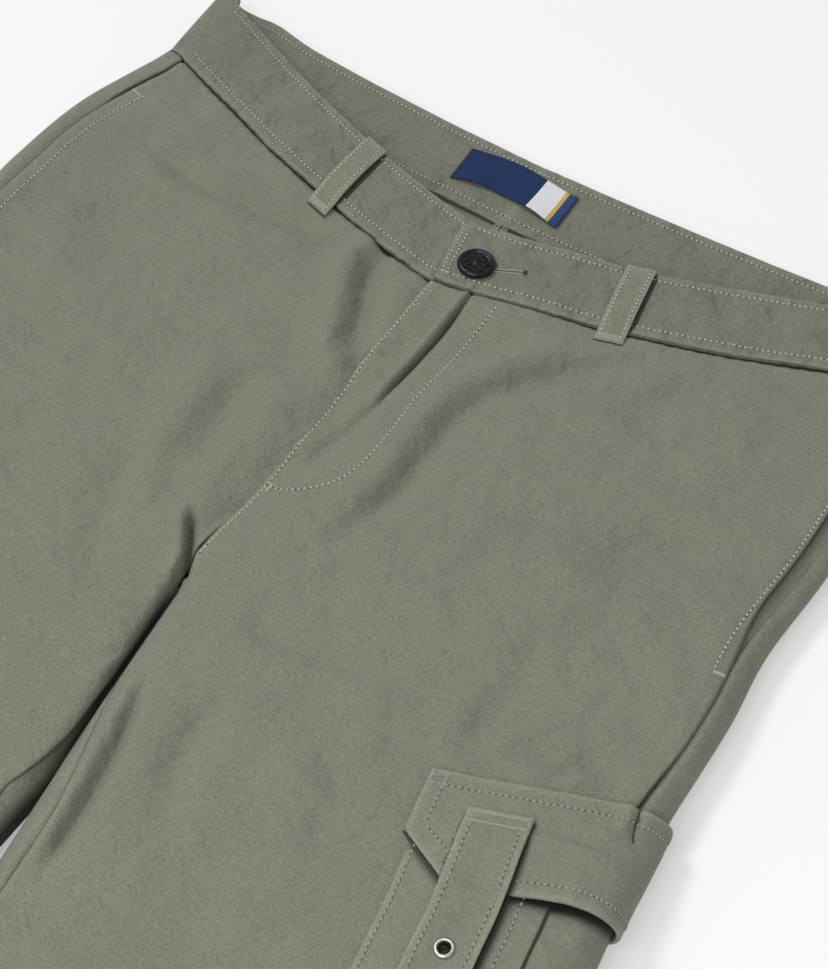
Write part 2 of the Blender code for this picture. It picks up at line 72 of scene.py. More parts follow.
# %% The shift from the cutter's point
HEM_Y = -0.980
SHIFT = np.array((0.0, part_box("back_left")[0][1] - HEM_Y, 0.0))
LEFT, RIGHT = 1, -1
SUFFIX = {LEFT: "left", RIGHT: "right"}
print("cutter's point is at", SHIFT.round(4))

# %% [markdown]
# ## Sections of the garment
#
# Each half of a pair of trousers is a tube. Laid flat, a section through the tube is a
# flat top, a flat underside and a rolled edge. Modelling such a form with a box or a
# cylinder would lose its taper, so the sizes of eleven sections are kept in a table and
# a smooth curve through them gives every section in between. Each section has a `low`, the
# height of its outermost line, and a `groove`, which goes from 0 to 1 where the legs part.

# %% The table of sections
WALL = 0.0012        # the room that one layer of cloth takes up
PANEL_WALL = 0.0010  # how thick the shell of a panel is
BAND_WALL = 0.0024
LOOP_WALL = 0.0016
SEAM = 0.0003        # the clear gap at a seam
EDGE_ROLL = 0.016    # how wide the rolled outer edge is
INNER_ROLL = 0.014
EDGE_LEVEL = 0.42    # the height of the outermost line, as a share of the section's height
BOW = 1.3            # how a section bends from the middle out to the side
GROOVE_START, GROOVE_END = -0.184, -0.204
SECTION_COLUMNS = (
    "front_y", "back_y", "left_x", "right_x", "outer_x", "outer_y",
    "height", "fly_x", "inseam")
SECTIONS = (
    (0.000, 0.057, 0.0002, 0.0002, 0.2040, 0.063, 0.0155, 0.0030, 0.0000),
    (-0.050, -0.002, 0.0002, 0.0002, 0.2185, 0.010, 0.0180, 0.0024, 0.0000),
    (-0.100, -0.070, 0.0002, 0.0002, 0.2205, -0.041, 0.0200, 0.0008, 0.0000),
    (-0.155, -0.143, 0.0003, 0.0003, 0.2172, -0.092, 0.0215, 0.0000, 0.0000),
    (-0.196, -0.196, 0.0012, 0.0012, 0.2196, -0.130, 0.0225, 0.0000, 0.0000),
    (-0.250, -0.250, 0.0066, -0.0052, 0.2200, -0.182, 0.0230, 0.0000, 0.0020),
    (-0.310, -0.310, 0.0148, -0.0123, 0.2240, -0.245, 0.0235, 0.0000, 0.0120),
    (-0.420, -0.420, 0.0310, 0.0000, 0.2430, -0.370, 0.0235, 0.0000, 0.0090),
    (-0.600, -0.600, 0.0680, 0.0560, 0.2710, -0.562, 0.0215, 0.0000, 0.0090),
    (-0.790, -0.790, 0.0950, 0.0900, 0.2900, -0.757, 0.0195, 0.0000, 0.0090),
    (-0.980, -0.980, 0.1220, 0.1220, 0.3070, -0.953, 0.0180, 0.0000, 0.0090),
)


def smooth_step(low, high, value):
    """0 at low and 1 at high, with a soft start and end; high may be the lesser."""
    share = min(max((value - low) / (high - low), 0.0), 1.0)
    return share * share * (3 - 2 * share)


@functools.lru_cache(maxsize=None)
def section_at(place):
    """The section at a place counted in rows of the table."""
    last = len(SECTIONS) - 1
    start = min(int(place), last - 1)
    t = place - start
    rows = [SECTIONS[min(max(start + step, 0), last)] for step in (-1, 0, 1, 2)]
    values = {}
    for column, a, b, c, d in zip(SECTION_COLUMNS, *rows):
        values[column] = 0.5 * (
            2 * b + (c - a) * t + (2 * a - 5 * b + 4 * c - d) * t ** 2
            + (3 * b - a - 3 * c + d) * t ** 3)
        if column in ("inseam", "fly_x"):
            values[column] = b + (c - b) * t
    section = SimpleNamespace(**values)
    section.low = section.height * EDGE_LEVEL
    section.groove = smooth_step(GROOVE_START, GROOVE_END, section.front_y)
    return section


@functools.lru_cache(maxsize=None)
def section_where(column, value):
    """The section whose outer_y or front_y is value."""
    near, far = 0.0, len(SECTIONS) - 1.0
    for _ in range(24):
        middle = (near + far) / 2
        if getattr(section_at(middle), column) > value:
            near = middle
        else:
            far = middle
    return section_at(near)


print("waist is", round(section_at(0.0).outer_x * 2, 3), "m wide, laid flat")

# %% [markdown]
# ## Points on a section
#
# The functions below turn a place on a section into a point. A place on the outer edge is
# a wrap: 0 on the outermost line, 1 where the flat top starts and -1 where the flat
# underside starts. Each point carries a fourth number, which says how much of the
# creases of the top it takes: 1 on the top and 0 on the underside.

# %% Points on the top, the edges and the underside
CARGO_TOP = -0.184
POCKET_HEIGHT = 0.184
BAND_BACK_LIFT = 0.0030
POCKET_LIFT = 0.0035
POCKET_LIFT_EDGE = 0.060


def inner_x(section, side):
    """Where the inner edge of one half lies."""
    return section.left_x if side == LEFT else section.right_x


def cross_y(section, side, x, front):
    """How far up the garment a section has come at x, on its way out to the side."""
    start = section.front_y if front else section.back_y
    inner = inner_x(section, side)
    share = abs(x - inner) / (section.outer_x - inner)
    return start + (section.outer_y - start) * share ** BOW


def underside_lift(section, x):
    """Room under the garment for belt loops and for the rear of a cargo pocket."""
    band = BAND_BACK_LIFT * (1 - smooth_step(0.0, 0.04, SECTIONS[0][1] - section.back_y))
    full = section.outer_x - EDGE_ROLL - POCKET_LIFT_EDGE
    across = smooth_step(full - 0.030, full, x)
    end = CARGO_TOP - POCKET_HEIGHT
    above = 1 - smooth_step(CARGO_TOP + 0.002, CARGO_TOP + 0.028, section.outer_y)
    below = smooth_step(end - 0.040, end - 0.002, section.outer_y)
    return band + POCKET_LIFT * across * above * below


def settle(section, side, x, y, z, crease):
    """A point on the cloth, with the room under the garment that z needs."""
    low_share = 1 - min(max(z / section.height, 0.0), 1.0)
    return (side * x, y, WALL / 2 + z + underside_lift(section, x) * low_share, crease)


def outer_point(section, side, wrap, out=0.0):
    """A point on the outer part of a section, moved out from the cloth by out."""
    angle = math.radians(90 * min(max(wrap, -1.0), 1.0))
    flat = max(abs(wrap) - 1, 0.0) * EDGE_ROLL
    rise = section.height - section.low if wrap > 0 else section.low
    x = section.outer_x - EDGE_ROLL * (1 - math.cos(angle)) - flat
    z = section.low + rise * math.sin(angle)
    y = cross_y(section, side, x, wrap >= 0)
    point = settle(section, side, x, y, z, smooth_step(0.25, 1.0, wrap))
    away = Vector((side * rise * math.cos(angle), 0, EDGE_ROLL * math.sin(angle))).normalized()
    return (point[0] + away.x * out, point[1], point[2] + away.z * out, point[3])


def wrap_of(section, girth):
    """The wrap of a place that lies girth away from the outermost line along the cloth."""
    rise = section.height - section.low if girth > 0 else section.low
    quarter = math.pi / 4 * (1.5 * (EDGE_ROLL + rise) - math.sqrt(EDGE_ROLL * rise))
    if abs(girth) <= quarter:
        return girth / quarter
    return math.copysign(1 + (abs(girth) - quarter) / EDGE_ROLL, girth)


def inner_point(section, side, angle, front):
    """A point on the inner roll, where angle 0 is its innermost line."""
    low = section.low
    top = section.height - section.groove * (section.height - low)
    start_x = inner_x(section, side) - (side * section.fly_x if front else 0.0)
    tight = 0.90 * section.groove if front and side == RIGHT else 0.0
    share = 1 - math.cos(angle)
    x = start_x + INNER_ROLL * (share - tight * share * (1 - share ** 3))
    if front or angle > 0:
        z = top + (section.height - top) * math.sin(angle)
    else:
        z = section.groove * low * (1 + math.sin(angle))
    above = smooth_step(0.2, 1.0, math.sin(angle)) if section.groove > 0.5 else float(front)
    return settle(section, side, x, cross_y(section, side, x, front), z, above)


def top_point(section, side, x, out=0.0):
    """A point on the flat top of a section."""
    y = cross_y(section, side, x, True)
    return settle(section, side, x, y, section.height + out, 1.0)


print("a cargo pocket starts at", CARGO_TOP, "m from the cutter's point")

# %% [markdown]
# ## Creases
#
# Cotton twill that has been worn, folded and smoothed by hand keeps soft creases. A cloth
# simulation could give some, but not these, so each crease is listed: a line of points, a
# width, a depth (less than nothing for a ridge) and how much of a ridge stands beside it.
# A crease much deeper than it is wide folds over itself, so shade is also painted into its
# middle. On top of them lies a slow, shallow swell, the sum of a few long waves, so that no
# part of the cloth is perfectly flat.

# %% The creases of the laid garment
CREASE_COLUMNS = ("points", "width", "depth", "ridge")
TO_LIT_FLANK = np.array((0.84, 0.54))   # a line marks the dark flank, and the middle lies beside it
NARROW, ASIDE_SHARE, MOST_ASIDE = 0.003, 1.6, 0.0060
# Steep folds get painted shade: it starts at this depth over width and is never darker than its limit.
FOLDS_OVER, DARKEST_FOLD_SHADE = 0.9, 0.80     # depth over width where darkening starts, and its limit
CREASES = (
    # The right front, from the fly out to the hip.
    (((-0.0445, 0.0150), (-0.0400, 0.0030), (-0.0317, -0.0207), (-0.0179, -0.0514), (-0.0078, -0.0739),
      (-0.0040, -0.0860)), 0.0060, 0.0058, 0.7),
    (((-0.0110, -0.0600), (-0.0020, -0.0951), (-0.0025, -0.1253), (-0.0063, -0.1561),
      (-0.0080, -0.1900)), 0.0115, 0.0054, 0.4),
    (((-0.1800, -0.0080), (-0.1265, -0.0138), (-0.0960, -0.0111), (-0.0500, -0.0050)), 0.0062, 0.0036, 0.5),
    (((-0.0420, -0.0850), (-0.0390, -0.1265), (-0.0338, -0.1616), (-0.0268, -0.1878)), 0.0105, 0.0046, 0.5),
    (((-0.0662, -0.1443), (-0.0566, -0.1703), (-0.0445, -0.2054), (-0.0326, -0.2329)), 0.0110, 0.0030, 0.5),
    (((-0.1645, -0.0347), (-0.1519, -0.0656), (-0.1301, -0.1034)), 0.0120, 0.0018, 0.5),
    # The sharp folds where the legs meet.
    (((-0.0176, -0.1640), (-0.0087, -0.1776), (-0.0007, -0.1903), (0.0030, -0.2060)), 0.0022, 0.0046, 0.8),
    (((-0.0060, -0.2560), (0.0012, -0.2417), (0.0040, -0.2310)), 0.0022, 0.0014, 0.6),
    # A ridge and two narrow creases that run down the fly.
    (((-0.010, -0.030), (-0.012, -0.060), (-0.008, -0.085)), 0.0050, -0.0008, 0.0),
    (((0.0165, 0.0120), (0.0172, 0.0000), (0.0182, -0.0215), (0.0182, -0.040), (0.0176, -0.0560),
      (0.0158, -0.0850)), 0.0014, 0.0042, 0.60),
    (((0.0182, -0.0640), (0.0150, -0.0880), (0.0108, -0.1175), (0.0094, -0.1330)), 0.0038, 0.0024, 0.6),
    # The left front, from the waist down to the thigh.
    (((0.1120, 0.0110), (0.0881, -0.0042), (0.0676, -0.0218), (0.0551, -0.0395),
      (0.0467, -0.0591), (0.0455, -0.079), (0.0470, -0.0992), (0.0471, -0.1149),
      (0.0420, -0.1336), (0.0393, -0.1553), (0.0380, -0.1700)), 0.0062, 0.0052, 0.6),
    (((0.1301, 0.0130), (0.1172, -0.0109), (0.1134, -0.0396)), 0.0080, 0.0014, 0.5),
    (((0.0351, -0.1800), (0.0365, -0.1930), (0.0430, -0.2040), (0.0637, -0.2007), (0.0804, -0.1969),
      (0.1058, -0.1922), (0.1262, -0.1949)), 0.0055, 0.0018, 0.5),
    (((0.1339, -0.1323), (0.1357, -0.1508), (0.1377, -0.1767), (0.1385, -0.1999), (0.1367, -0.2160)),
     0.0062, 0.0014, 0.5),
    (((0.175, -0.060), (0.150, -0.085), (0.120, -0.100)), 0.0120, 0.0028, 0.5),
    # The inside of the left leg.
    (((0.0450, -0.2280), (0.0469, -0.2572), (0.0530, -0.2838), (0.0594, -0.3100)), 0.0080, 0.0030, 0.5),
    (((0.0165, -0.2360), (0.0235, -0.2576), (0.0308, -0.2835), (0.0351, -0.3082), (0.0390, -0.3400)),
     0.0032, 0.0036, 0.7),
    # Above the left cargo pocket and beside it.
    (((0.1748, -0.1930), (0.1806, -0.1841), (0.1905, -0.1807)), 0.0034, 0.0028, 0.6),
    (((0.1500, -0.1970), (0.1600, -0.1900), (0.1720, -0.1860)), 0.0050, 0.0014, 0.5),
    (((0.0900, -0.2300), (0.1050, -0.2500), (0.1120, -0.2800)), 0.0070, 0.0014, 0.5),
    (((0.100, -0.300), (0.090, -0.360), (0.070, -0.420)), 0.0160, 0.0022, 0.5),
    # The lower part of the left leg.
    (((0.110, -0.540), (0.150, -0.555), (0.190, -0.580)), 0.0160, 0.0034, 0.5),
    (((0.240, -0.500), (0.200, -0.530), (0.170, -0.532)), 0.0120, 0.0026, 0.5),
    (((0.130, -0.700), (0.170, -0.730), (0.230, -0.720)), 0.0180, 0.0026, 0.4),
    (((0.220, -0.840), (0.190, -0.860), (0.150, -0.850)), 0.0120, 0.0018, 0.5),
    # The right leg.
    (((-0.120, -0.560), (-0.160, -0.570), (-0.200, -0.600)), 0.0160, 0.0034, 0.5),
    (((-0.230, -0.520), (-0.200, -0.540), (-0.170, -0.540)), 0.0120, 0.0024, 0.5),
    (((-0.110, -0.330), (-0.100, -0.400), (-0.070, -0.460)), 0.0140, 0.0026, 0.5),
    (((-0.140, -0.760), (-0.190, -0.780), (-0.250, -0.760)), 0.0180, 0.0024, 0.4),
    (((-0.150, -0.880), (-0.190, -0.870), (-0.230, -0.890)), 0.0130, 0.0018, 0.5),
)
SWELL_COLUMNS = ("length", "bearing", "height")
SWELLS = (
    (0.131, 24, 0.00038), (0.097, 108, 0.00036), (0.071, 61, 0.00028), (0.053, 152, 0.00022),
    (0.041, 83, 0.00016), (0.029, 12, 0.00010), (0.023, 131, 0.00008), (0.017, 47, 0.00006),
)


print(len(CREASES), "creases placed by hand")

# %% [markdown]
# ### From the tables to heights
#
# Real cloth sinks along a crease and bulges up beside it. So for each point of the cloth
# the nearest point of each crease's line is found, and how far away it is sets how much
# the cloth sinks or rises there.

# %% Heights of the creases and the swell
def curve_through(points, count):
    """Evenly placed points on a smooth curve through a few points, in 2 or 3 dimensions."""
    knots = np.array([points[0], *points, points[-1]], dtype=float)
    t = np.linspace(0, 1, 25)[:-1, None]
    fine = []
    for a, b, c, d in zip(knots, knots[1:], knots[2:], knots[3:]):
        fine.append(0.5 * (
            2 * b + (c - a) * t + (2 * a - 5 * b + 4 * c - d) * t ** 2
            + (3 * b - a - 3 * c + d) * t ** 3))
    fine = np.vstack(fine + [knots[-1:]])
    gone = np.concatenate(([0], np.cumsum(np.linalg.norm(np.diff(fine, axis=0), axis=1))))
    places = np.linspace(0, gone[-1], count)
    return np.column_stack([np.interp(places, gone, fine[:, axis]) for axis in range(fine.shape[1])])


def crease_heights(x, y, creases):
    """How far a table of creases moves each point up, and how much shade is painted in its steep folds."""
    total, dark = np.zeros_like(x), np.zeros_like(x)
    for row in creases:
        crease = SimpleNamespace(**dict(zip(CREASE_COLUMNS, row)))
        aside = min(max(crease.width - NARROW, 0.0) * ASIDE_SHARE, MOST_ASIDE)
        line = curve_through(crease.points, 24) + aside * TO_LIT_FLANK
        reach = crease.width * 5
        near = (x > line[:, 0].min() - reach) & (x < line[:, 0].max() + reach)
        near &= (y > line[:, 1].min() - reach) & (y < line[:, 1].max() + reach)
        if not near.any():
            continue
        places = np.column_stack((x[near], y[near]))
        start, run = line[:-1], np.diff(line, axis=0)
        offset = places[:, None, :] - start[None]
        along = (offset * run).sum(2) / (run ** 2).sum(1)
        inside = offset - np.clip(along, 0, 1)[..., None] * run
        distance = np.linalg.norm(inside, axis=2)
        best = distance.argmin(axis=1)
        index = np.arange(len(best))
        share = (best + np.clip(along[index, best], 0, 1)) / len(run)
        fade = np.clip(np.minimum(share, 1 - share) * 3.4, 0, 1)
        fade = fade * fade * (3 - 2 * fade)
        gap = distance[index, best] / (crease.width * (0.6 + 0.4 * fade))
        turn = offset[index, best, 0] * run[best, 1] - offset[index, best, 1] * run[best, 0]
        signed = np.sign(turn) * gap
        shape = -np.exp(-signed ** 2) + crease.ridge * np.exp(-((signed - 1.9) / 1.2) ** 2)
        total[near] += crease.depth * shape * fade
        # Painted shade in the middle of a fold that is deeper than it is wide.
        steep = min(max(crease.depth / crease.width - FOLDS_OVER, 0.0) / 1.6, DARKEST_FOLD_SHADE)
        dark[near] = np.maximum(dark[near], steep * fade * np.exp(-(signed / 0.9) ** 2))
    return total, dark


def swell_heights(x, y, share=1.0):
    """The slow swell at each point."""
    total = np.zeros_like(x)
    for index, row in enumerate(SWELLS):
        swell = SimpleNamespace(**dict(zip(SWELL_COLUMNS, row)))
        bearing = math.radians(swell.bearing)
        run = x * math.cos(bearing) + y * math.sin(bearing)
        side = y * math.cos(bearing) - x * math.sin(bearing)
        wander = 0.35 * swell.length * np.sin(side / swell.length * 2.3 + index)
        total += swell.height * np.sin((run + wander) / swell.length * 2 * math.pi + 1.7 * index)
    return total * share


print("the swell is at most", round(sum(row[2] for row in SWELLS) * 1000, 2), "mm high")

# %% [markdown]
# ## Cloth from rows of points
#
# A piece of cloth starts as a flat grid, which `bmesh.ops.create_grid` makes. The grid's
# points are then moved to their places on the garment, and the Solidify and Bevel
# modifiers give it its thickness and its rounded edge. The flat lengths along the rows
# and columns become its UV map, in metres, so the weave has its true size everywhere.
# An attribute called `edge` is 1 on the cut edges, where twill gets worn and pale. Another
# attribute carries painted shade: it is high in the narrow cracks beside seams and under
# edges, where shade falls.

# %% The maker of cloth pieces
pieces = {}


def flat_lengths(places):
    """How far each point lies across and along the flat cloth."""
    across = np.linalg.norm(np.diff(places, axis=1), axis=2)
    across = np.concatenate((np.zeros((len(places), 1)), np.cumsum(across, axis=1)), axis=1)
    middle = places.shape[1] // 2
    along = np.linalg.norm(np.diff(places[:, middle], axis=0), axis=1)
    along = np.concatenate(([0], np.cumsum(along)))
    return across - across[:, middle:middle + 1], np.repeat(along[:, None], places.shape[1], axis=1)


def edge_closeness(across, along, reach=0.0022):
    """1 on the rim of the cloth, falling to 0 inside it."""
    gap = np.minimum(across - across[:, :1], across[:, -1:] - across)
    gap = np.minimum(gap, np.minimum(along, along[-1:] - along))
    return np.exp(-(gap / reach) ** 2)


def cloth(name, rows, wall, material, creases=(), swell=1.0, soft_edge=0.0, move=None):
    """A thin shell of cloth through rows of (x, y, z, crease share) points."""
    grid = np.array(rows, dtype=float)
    places = grid[..., :3].copy()
    across, along = flat_lengths(places)
    x, y = places[..., 0].ravel(), places[..., 1].ravel()
    height, dark = crease_heights(x, y, CREASES + tuple(creases))
    height += swell_heights(x, y, swell)
    places[..., 2] += height.reshape(places.shape[:2]) * grid[..., 3]
    # Painted shade: the move gives it in cracks, and the creases give it in steep folds.
    shadow = np.zeros_like(across) if move is None else move(across, along, places)
    shadow = np.maximum(shadow, dark.reshape(across.shape) * grid[..., 3])
    shape = bmesh.new()
    bmesh.ops.create_grid(
        shape, x_segments=grid.shape[1] - 1, y_segments=grid.shape[0] - 1, size=0.5)
    mesh = bpy.data.meshes.new(name + "_cloth")
    shape.to_mesh(mesh)
    shape.free()
    mesh.vertices.foreach_set("co", (places + SHIFT).astype(np.float32).ravel())
    corners = np.empty(len(mesh.loops), dtype=np.int32)
    mesh.loops.foreach_get("vertex_index", corners)
    flat = np.stack((across.ravel(), along.ravel()), axis=1)[corners]
    mesh.uv_layers.new(name="cloth").data.foreach_set("uv", flat.astype(np.float32).ravel())
    worn = mesh.attributes.new("edge", "FLOAT", "POINT")
    worn.data.foreach_set("value", edge_closeness(across, along).astype(np.float32).ravel())
    # This attribute holds the painted shade, which darkens the cloth's colour.
    painted_shade = mesh.attributes.new("painted_shade", "FLOAT", "POINT")
    painted_shade.data.foreach_set("value", shadow.astype(np.float32).ravel())
    mesh.shade_smooth()
    mesh.update()
    mesh.materials.append(material)
    piece = bpy.data.objects.new(name + "_cloth", mesh)
    bpy.context.scene.collection.objects.link(piece)
    solid = piece.modifiers.new("wall", "SOLIDIFY")
    solid.thickness = wall
    solid.offset = 0.0
    if soft_edge:
        rounded = piece.modifiers.new("soft edge", "BEVEL")
        rounded.width = soft_edge
        rounded.segments = 2
        rounded.limit_method = "ANGLE"
        rounded.angle_limit = math.radians(55)
    pieces[name] = piece


def declare_cloth(name):
    """Attach a cloth piece to the root and hide the measured solid that it stands for."""
    piece = pieces[name]
    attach(piece, "root")
    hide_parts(name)


print("a panel is", PANEL_WALL * 1000, "mm thick")

# %% [markdown]
# ## The twill weave
#
# Twill shows fine slanting ribs. Real threads are far too many to model, so a shader node
# group draws them: one wave texture for the ribs, a second across them for the single
# threads, and a noise for the uneven yarn. The group is built once, has named inputs and
# outputs, and gives a shade and a height that each material puts to its own use.

# %% The node group of the twill weave
def new_group(name, inputs, outputs):
    """An empty shader node group with named sockets."""
    group = bpy.data.node_groups.new(name, "ShaderNodeTree")
    for label, kind, value in inputs:
        socket = group.interface.new_socket(name=label, in_out="INPUT", socket_type=kind)
        if value is not None:
            socket.default_value = value
    for label, kind in outputs:
        group.interface.new_socket(name=label, in_out="OUTPUT", socket_type=kind)
    start = group.nodes.new("NodeGroupInput")
    end = group.nodes.new("NodeGroupOutput")
    return group, start, end


def add_node(tree, kind, links=(), **settings):
    """A node with its settings, and its inputs linked or given a value."""
    node = tree.nodes.new(kind)
    for name, value in settings.items():
        setattr(node, name, value)
    for socket, value in dict(links).items():
        if isinstance(value, bpy.types.NodeSocket):
            tree.links.new(value, node.inputs[socket])
        else:
            node.inputs[socket].default_value = value
    return node


def maths(tree, operation, first, second=0.0, clamp=False):
    """The output of one maths node."""
    node = add_node(tree, "ShaderNodeMath", {0: first, 1: second}, operation=operation)
    node.use_clamp = clamp
    return node.outputs[0]


def make_weave_group():
    """Slanting ribs, single threads across them and uneven yarn."""
    group, start, end = new_group(
        "twill weave",
        (("Vector", "NodeSocketVector", None), ("Ribs per metre", "NodeSocketFloat", 1800.0),
         ("Slub", "NodeSocketFloat", 0.5)),
        (("Shade", "NodeSocketFloat"), ("Height", "NodeSocketFloat")))
    turned = add_node(group, "ShaderNodeMapping", {
        "Vector": start.outputs["Vector"], "Rotation": (0.0, 0.0, math.radians(-28))})
    wave_scale = maths(group, "MULTIPLY", start.outputs["Ribs per metre"], math.pi / 10)
    ribs = add_node(group, "ShaderNodeTexWave", {
        "Vector": turned.outputs[0], "Scale": wave_scale, "Distortion": 1.1,
        "Detail": 2.0, "Detail Scale": 0.35}, wave_type="BANDS", bands_direction="X")
    crossed = add_node(group, "ShaderNodeMapping", {
        "Vector": start.outputs["Vector"], "Rotation": (0.0, 0.0, math.radians(2))})
    picks = add_node(group, "ShaderNodeTexWave", {
        "Vector": crossed.outputs[0], "Scale": maths(group, "MULTIPLY", wave_scale, 1.3),
        "Distortion": 1.6, "Detail": 1.0, "Detail Scale": 0.5},
        wave_type="BANDS", bands_direction="Y")
    yarn = add_node(group, "ShaderNodeTexNoise", {
        "Vector": start.outputs["Vector"], "Scale": 900.0, "Detail": 3.0, "Roughness": 0.65})
    both = maths(group, "ADD", maths(group, "MULTIPLY", ribs.outputs["Fac"], 0.30),
                 maths(group, "MULTIPLY", picks.outputs["Fac"], 0.14))
    uneven = maths(group, "MULTIPLY", yarn.outputs["Fac"], start.outputs["Slub"])
    height = maths(group, "ADD", both, uneven)
    group.links.new(height, end.inputs["Height"])
    group.links.new(maths(group, "MULTIPLY", height, 0.75), end.inputs["Shade"])
    return group


WEAVE = make_weave_group()
print("node group:", WEAVE.name)

# %% [markdown]
# ### The washed colour and painted shade
#
# A garment that is washed after it is sewn loses colour unevenly: in slow clouds, in fine
# specks, and most of all where an edge rubs. All of these are levels that multiply one
# base colour, so the group can serve every cloth. The same group also darkens the colour
# where shade is painted into cracks and folds.

# %% The node group of washed colour and painted shade
def make_wash_and_shade_group():
    """Garment-washed colour: slow clouds, fine heather and pale worn edges, and painted shade in cracks."""
    group, start, end = new_group(
        "washed colour and painted shade",
        (("Vector", "NodeSocketVector", None), ("Base", "NodeSocketColor", (0.2, 0.2, 0.2, 1)),
         ("Shade", "NodeSocketFloat", 0.5), ("Edge", "NodeSocketFloat", 0.0),
         ("Wear", "NodeSocketFloat", 0.25), ("Cloud", "NodeSocketFloat", 0.08),
         ("Seam", "NodeSocketFloat", 0.0)),
        (("Color", "NodeSocketColor"), ("Roughness", "NodeSocketFloat")))
    cloud = add_node(group, "ShaderNodeTexNoise", {
        "Vector": start.outputs["Vector"], "Scale": 26.0, "Detail": 4.0, "Roughness": 0.6})
    heather = add_node(group, "ShaderNodeTexNoise", {
        "Vector": start.outputs["Vector"], "Scale": 1100.0, "Detail": 3.0, "Roughness": 0.75})
    cloudy = maths(group, "MULTIPLY", maths(group, "SUBTRACT", cloud.outputs["Fac"], 0.5),
                   start.outputs["Cloud"])
    speck = maths(group, "MULTIPLY", maths(group, "SUBTRACT", heather.outputs["Fac"], 0.5), 1.30)
    woven = maths(group, "MULTIPLY", maths(group, "SUBTRACT", start.outputs["Shade"], 0.5), 0.42)
    level = maths(group, "ADD", maths(group, "ADD", cloudy, speck), maths(group, "ADD", woven, 1.0))
    worn = maths(group, "MULTIPLY", start.outputs["Edge"], start.outputs["Wear"])
    worn = maths(group, "MULTIPLY", worn, maths(group, "ADD", heather.outputs["Fac"], 0.3))
    level = maths(group, "ADD", level, worn)
    # Painted shade: the colour is darkened where cracks and folds hold shade.
    open_share = maths(group, "SUBTRACT", 1.0, maths(group, "MULTIPLY", start.outputs["Seam"], 0.97))
    level = maths(group, "MULTIPLY", level, open_share)
    colour = add_node(group, "ShaderNodeVectorMath", {
        0: start.outputs["Base"], "Scale": level}, operation="SCALE")
    group.links.new(colour.outputs[0], end.inputs["Color"])
    rough = maths(group, "ADD", maths(group, "MULTIPLY", cloud.outputs["Fac"], 0.08), 0.82)
    group.links.new(rough, end.inputs["Roughness"])
    return group


WASH_AND_SHADE = make_wash_and_shade_group()
print("node group:", WASH_AND_SHADE.name)

# %% [markdown]
# ## The cloth materials
#
# One function builds every cloth material from the two groups: the weave reads the UV map
# in metres, the wash reads Object coordinates so that its clouds run on over the seams,
# and a little sheen stands for the cotton's fuzz.

# %% The cloth materials
TWILL = (0.192, 0.198, 0.150)


def new_material(name):
    material = bpy.data.materials.new(name)
    material.use_nodes = True
    tree = material.node_tree
    return material, tree, tree.nodes["Principled BSDF"]


def cloth_material(name, base, ribs=1800.0, bump=0.00022, wear=0.22, cloud=0.20, slub=1.1,
                   crumple=0.0044):
    material, tree, shader = new_material(name)
    flat = add_node(tree, "ShaderNodeUVMap", uv_map="cloth")
    edge = add_node(tree, "ShaderNodeAttribute", attribute_name="edge")
    where = add_node(tree, "ShaderNodeTexCoord")
    weave = add_node(tree, "ShaderNodeGroup", node_tree=WEAVE)
    tree.links.new(flat.outputs[0], weave.inputs["Vector"])
    weave.inputs["Ribs per metre"].default_value = ribs
    weave.inputs["Slub"].default_value = slub
    wash = add_node(tree, "ShaderNodeGroup", node_tree=WASH_AND_SHADE)
    tree.links.new(where.outputs["Object"], wash.inputs["Vector"])
    tree.links.new(weave.outputs["Shade"], wash.inputs["Shade"])
    tree.links.new(edge.outputs["Fac"], wash.inputs["Edge"])
    # The attribute of painted shade darkens the washed colour in cracks and folds.
    painted_shade = add_node(tree, "ShaderNodeAttribute", attribute_name="painted_shade")
    tree.links.new(painted_shade.outputs["Fac"], wash.inputs["Seam"])
    wash.inputs["Base"].default_value = (*base, 1.0)
    wash.inputs["Wear"].default_value = wear
    wash.inputs["Cloud"].default_value = cloud
    tree.links.new(wash.outputs["Color"], shader.inputs["Base Color"])
    tree.links.new(wash.outputs["Roughness"], shader.inputs["Roughness"])
    relief = add_node(tree, "ShaderNodeBump", {
        "Height": weave.outputs["Height"], "Distance": bump, "Strength": 1.0})
    soft = add_node(tree, "ShaderNodeTexNoise", {
        "Vector": where.outputs["Object"], "Scale": 48.0, "Detail": 3.0, "Roughness": 0.52,
        "Distortion": 0.15})
    rumple = add_node(tree, "ShaderNodeBump", {
        "Height": soft.outputs["Fac"], "Distance": crumple, "Strength": 1.0,
        "Normal": relief.outputs[0]})
    tree.links.new(rumple.outputs[0], shader.inputs["Normal"])
    shader.inputs["Sheen Weight"].default_value = 0.12
    shader.inputs["Sheen Roughness"].default_value = 0.5
    shader.inputs["Specular IOR Level"].default_value = 0.25
    return material


twill = cloth_material("olive_twill", TWILL)
band_twill = cloth_material("olive_twill_band", tuple(c * 0.90 for c in TWILL), wear=0.30, cloud=0.30,
                            crumple=0.0100)
inner_twill = cloth_material("olive_twill_inside", tuple(c * 0.86 for c in TWILL), wear=0.15)
tape = cloth_material("zip_tape", (0.150, 0.158, 0.120), ribs=1600.0, wear=0.0)
print("cloth materials:", twill.name, band_twill.name, inner_twill.name)
